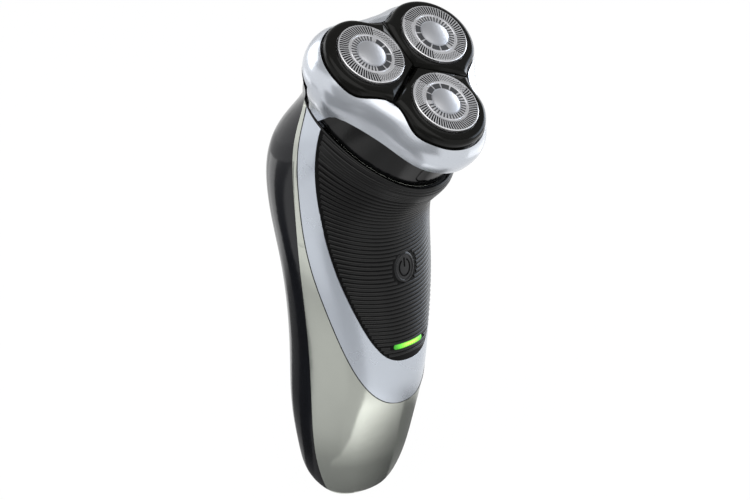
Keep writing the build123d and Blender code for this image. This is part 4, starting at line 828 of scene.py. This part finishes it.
# ---- power mark on the button: open ring with a stroke through the gap, and a raised rim
mark = {"centre": 85.6, "ring": (2.15, 2.7), "gap": 30, "ringSpots": 40, "stroke": (0.2, 3.1), "strokeSpots": 6,
        "thick": 0.32, "sunk": 0.12, "rim": (3.5, 4.25), "rimSpots": 73, "rimThick": 0.32, "rimSunk": 0.02, "away": 80}


def onButton(points, sunk):
    face = surfaceOf("power_button")
    spots = []
    for x, up in points:
        start = Vector((x, -mark["away"], mark["centre"] + up)) * mm
        spot, normal = face.ray_cast(start, Vector((0, 1, 0)))[:2]
        spots.append(spot - normal.normalized() * sunk * mm)
    return spots


def arcPoints(radiusX, radiusY, fromTurn, toTurn, count):
    turns = [math.radians(fromTurn + (toTurn - fromTurn) * index / (count - 1)) for index in range(count)]
    return [(radiusX * math.sin(turn), radiusY * math.cos(turn)) for turn in turns]


strokeLow, strokeHigh = mark["stroke"]
strokePoints = [(0, strokeLow + (strokeHigh - strokeLow) * index / (mark["strokeSpots"] - 1))
                for index in range(mark["strokeSpots"])]
ringPoints = arcPoints(*mark["ring"], mark["gap"], 360 - mark["gap"], mark["ringSpots"])
rimPoints = arcPoints(*mark["rim"], 0, 360, mark["rimSpots"])[:-1]
for pieceName, points, sunk, closed, thick, finish in (
        ("powerRing", ringPoints, mark["sunk"], False, mark["thick"], "markBlack"),
        ("powerStroke", strokePoints, mark["sunk"], False, mark["thick"], "markBlack"),
        ("buttonRim", rimPoints, mark["rimSunk"], True, mark["rimThick"], "buttonBlack")):
    newPiece(pieceName, tubeThrough(onButton(points, sunk), closed, thick, finish), "power_button")
print("power mark placed")

# ---- guards: one tile with a slot, one with staggered holes, repeated round each head in groups of kind, first, count
guard = {"tiles": 72,
         "groups": (("slot", 0, 20), ("hole", 20, 12), ("slot", 32, 8), ("hole", 40, 12), ("slot", 52, 20)),
         "slotShare": 0.58, "slant": 0.2, "slantTurn": 20, "thick": 0.5, "sharp": 25, "weld": 0.002,
         "rows": (7.40, 7.80, 8.22, 8.64, 9.06, 9.48, 9.90, 10.30), "holeShares": (0, 0.08, 0.42, 0.58, 0.92, 1),
         "inner": ((2.2, -0.15), (5.2, -0.15), (5.2, 0.0), (6.65, 0.0), (6.65, -0.2), (6.95, -0.2), (6.95, 0.0)),
         "skirt": ((10.48, 0.0), (10.62, -0.12), (10.7, -0.5), (10.7, -2.4), (11.5, -2.4), (11.5, -3.2), (10.5, -3.2),
                   (10.5, -0.5))}
tileTurn = 2 * math.pi / guard["tiles"]


def openIn(kind, column, row):
    if kind == "slot":
        return column == 1
    return (column == 1 and row in (1, 3, 5)) or (column == 3 and row in (2, 4))


def guardTile(kind):
    rows = guard["rows"]
    inner, outer, last = rows[0], rows[-1], len(rows) - 1
    under = [(r, -guard["thick"]) for r in reversed(rows)] + [(guard["inner"][0][0], -guard["thick"])]
    outline = [*guard["inner"], *((r, 0.0) for r in rows), *guard["skirt"], *under]
    firstTop = len(guard["inner"])
    firstUnder = firstTop + len(rows) + len(guard["skirt"])
    count = len(outline)
    half = guard["slotShare"] / 2
    shares = (0, 0.5 - half, 0.5 + half, 1) if kind == "slot" else guard["holeShares"]
    verts, faces = [], []
    for share in shares:
        for r, z in outline:
            along = (min(max(r, inner), outer) - (inner + outer) / 2) / (outer - inner)
            angle = tileTurn * share + along * guard["slant"] * math.radians(guard["slantTurn"])
            verts.append(roundPoint(r, angle, z))

    # the skin of the tile, left open at its slots or holes above and below
    for column in range(len(shares) - 1):
        for point in range(count):
            topRow = point - firstTop if firstTop <= point < firstTop + last else None
            underRow = last - 1 - (point - firstUnder) if firstUnder <= point < firstUnder + last else None
            if any(row is not None and openIn(kind, column, row) for row in (topRow, underRow)):
                continue
            after = (point + 1) % count
            near, far = column * count, (column + 1) * count
            faces.append((far + point, far + after, near + after, near + point))

        # the walls of each opening, where the next cell is closed
        for row in range(last):
            if not openIn(kind, column, row):
                continue

            def corner(side, out, below):
                level = firstUnder + last - row - out if below else firstTop + row + out
                return (column + side) * count + level

            if not (column > 0 and openIn(kind, column - 1, row)):
                faces.append((corner(0, 0, 0), corner(0, 1, 0), corner(0, 1, 1), corner(0, 0, 1)))
            faces.append((corner(1, 1, 0), corner(1, 0, 0), corner(1, 0, 1), corner(1, 1, 1)))
            if row == 0 or not openIn(kind, column, row - 1):
                faces.append((corner(1, 0, 0), corner(0, 0, 0), corner(0, 0, 1), corner(1, 0, 1)))
            if row == last - 1 or not openIn(kind, column, row + 1):
                faces.append((corner(0, 1, 0), corner(1, 1, 0), corner(1, 1, 1), corner(0, 1, 1)))
    return meshOf(kind + "Tile", verts, [], faces)


def guardMesh(name):
    work = bmesh.new()
    for kind, first, count in guard["groups"]:
        work.from_mesh(runTree(kind + "Sector", guardTile(kind), tilesRound, {
            "count": count, "startTurn": first * tileTurn, "turnStep": tileTurn,
            "finish": materials["turnedSteel_" + name]}))
    bmesh.ops.remove_doubles(work, verts=work.verts, dist=guard["weld"] * mm)
    return meshFrom("guardPlate_" + name, work, guard["sharp"], headMatrix(name))


for name in headNames:
    piece = newPiece("guardPlate_" + name, guardMesh(name), "guard_" + name,
                     materials["turnedSteel_" + name])
    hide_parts("shaving_guard_" + name)
print("guards built:", len(piece.data.polygons), "faces each")

# ---- dark scale on the inner ring of each guard: short ticks, then longer blocks; each a count, pitch, width and start
scale = {"inner": 4.75, "outer": 6.45, "low": -0.05, "high": 0.03, "ticks": (20, 10.0, 4.6, 263),
         "blocks": (5, 30.0, 25.5, 103), "arcStep": 3}


def arcBlock(width):
    verts, faces = [], []
    steps = max(1, int(width / scale["arcStep"]))
    for step in range(steps + 1):
        angle = math.radians(width * step / steps)
        for r, z in ((scale["inner"], scale["low"]), (scale["outer"], scale["low"]), (scale["outer"], scale["high"]),
                     (scale["inner"], scale["high"])):
            verts.append(roundPoint(r, angle, z))
        if step:
            base = 4 * (step - 1)
            faces += [(base + k, base + (k + 1) % 4, base + 4 + (k + 1) % 4, base + 4 + k) for k in range(4)]
    faces += [(3, 2, 1, 0), tuple(4 * steps + k for k in range(4))]
    return meshOf("scaleBlock", verts, [], faces)


def scaleMesh(name):
    work = bmesh.new()
    for count, pitch, width, start in (scale["ticks"], scale["blocks"]):
        work.from_mesh(runTree("guardScale", arcBlock(width), tilesRound, {
            "count": count, "startTurn": math.radians(start), "turnStep": math.radians(pitch),
            "finish": materials["scaleGrey"]}))
    bmesh.ops.recalc_face_normals(work, faces=work.faces)
    return meshFrom("guardScale_" + name, work, matrix=headMatrix(name))


for name in headNames:
    newPiece("guardScale_" + name, scaleMesh(name), "guard_" + name,
             materials["scaleGrey"])

# ---- caps: smooth domes in a flat rim, bare
cap = {"radius": 4.4, "edge": 0.10, "rise": 0.62, "rings": 14, "around": 96, "sharp": 25,
       "rim": ((4.45, -0.04), (4.62, -0.04), (4.66, 0.0), (5.15, 0.0), (5.15, -0.15), (2.18, -0.15), (2.18, -0.5),
               (0, -0.5))}


def capMesh(name):
    tall = cap["rise"] - cap["edge"]
    sphere = (tall ** 2 + cap["radius"] ** 2) / (2 * tall)
    radii = [cap["radius"] * k / cap["rings"] for k in range(cap["rings"] + 1)]
    outline = [(r, cap["rise"] - sphere + math.sqrt(sphere ** 2 - r ** 2)) for r in radii] + list(cap["rim"])
    around = cap["around"]
    work = bmesh.new()
    rings = []
    for r, z in outline:
        turns = [2 * math.pi * k / around for k in range(around if r else 1)]
        rings.append([work.verts.new(roundPoint(r, turn, z)) for turn in turns])
    for inner, outer in zip(rings, rings[1:]):
        for k in range(around):
            after = (k + 1) % around
            near = (inner[k % len(inner)], outer[k % len(outer)])
            far = (outer[after % len(outer)], inner[after % len(inner)])
            work.faces.new(list(dict.fromkeys(near + far)))  # a triangle where a ring is one point
    bmesh.ops.recalc_face_normals(work, faces=work.faces)
    return meshFrom("domeCap_" + name, work, cap["sharp"], headMatrix(name))


for name in headNames:
    piece = newPiece("domeCap_" + name, capMesh(name), "guard_" + name,
                     materials["domedSteel_" + name])
    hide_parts("guard_cap_" + name)
print("caps built")
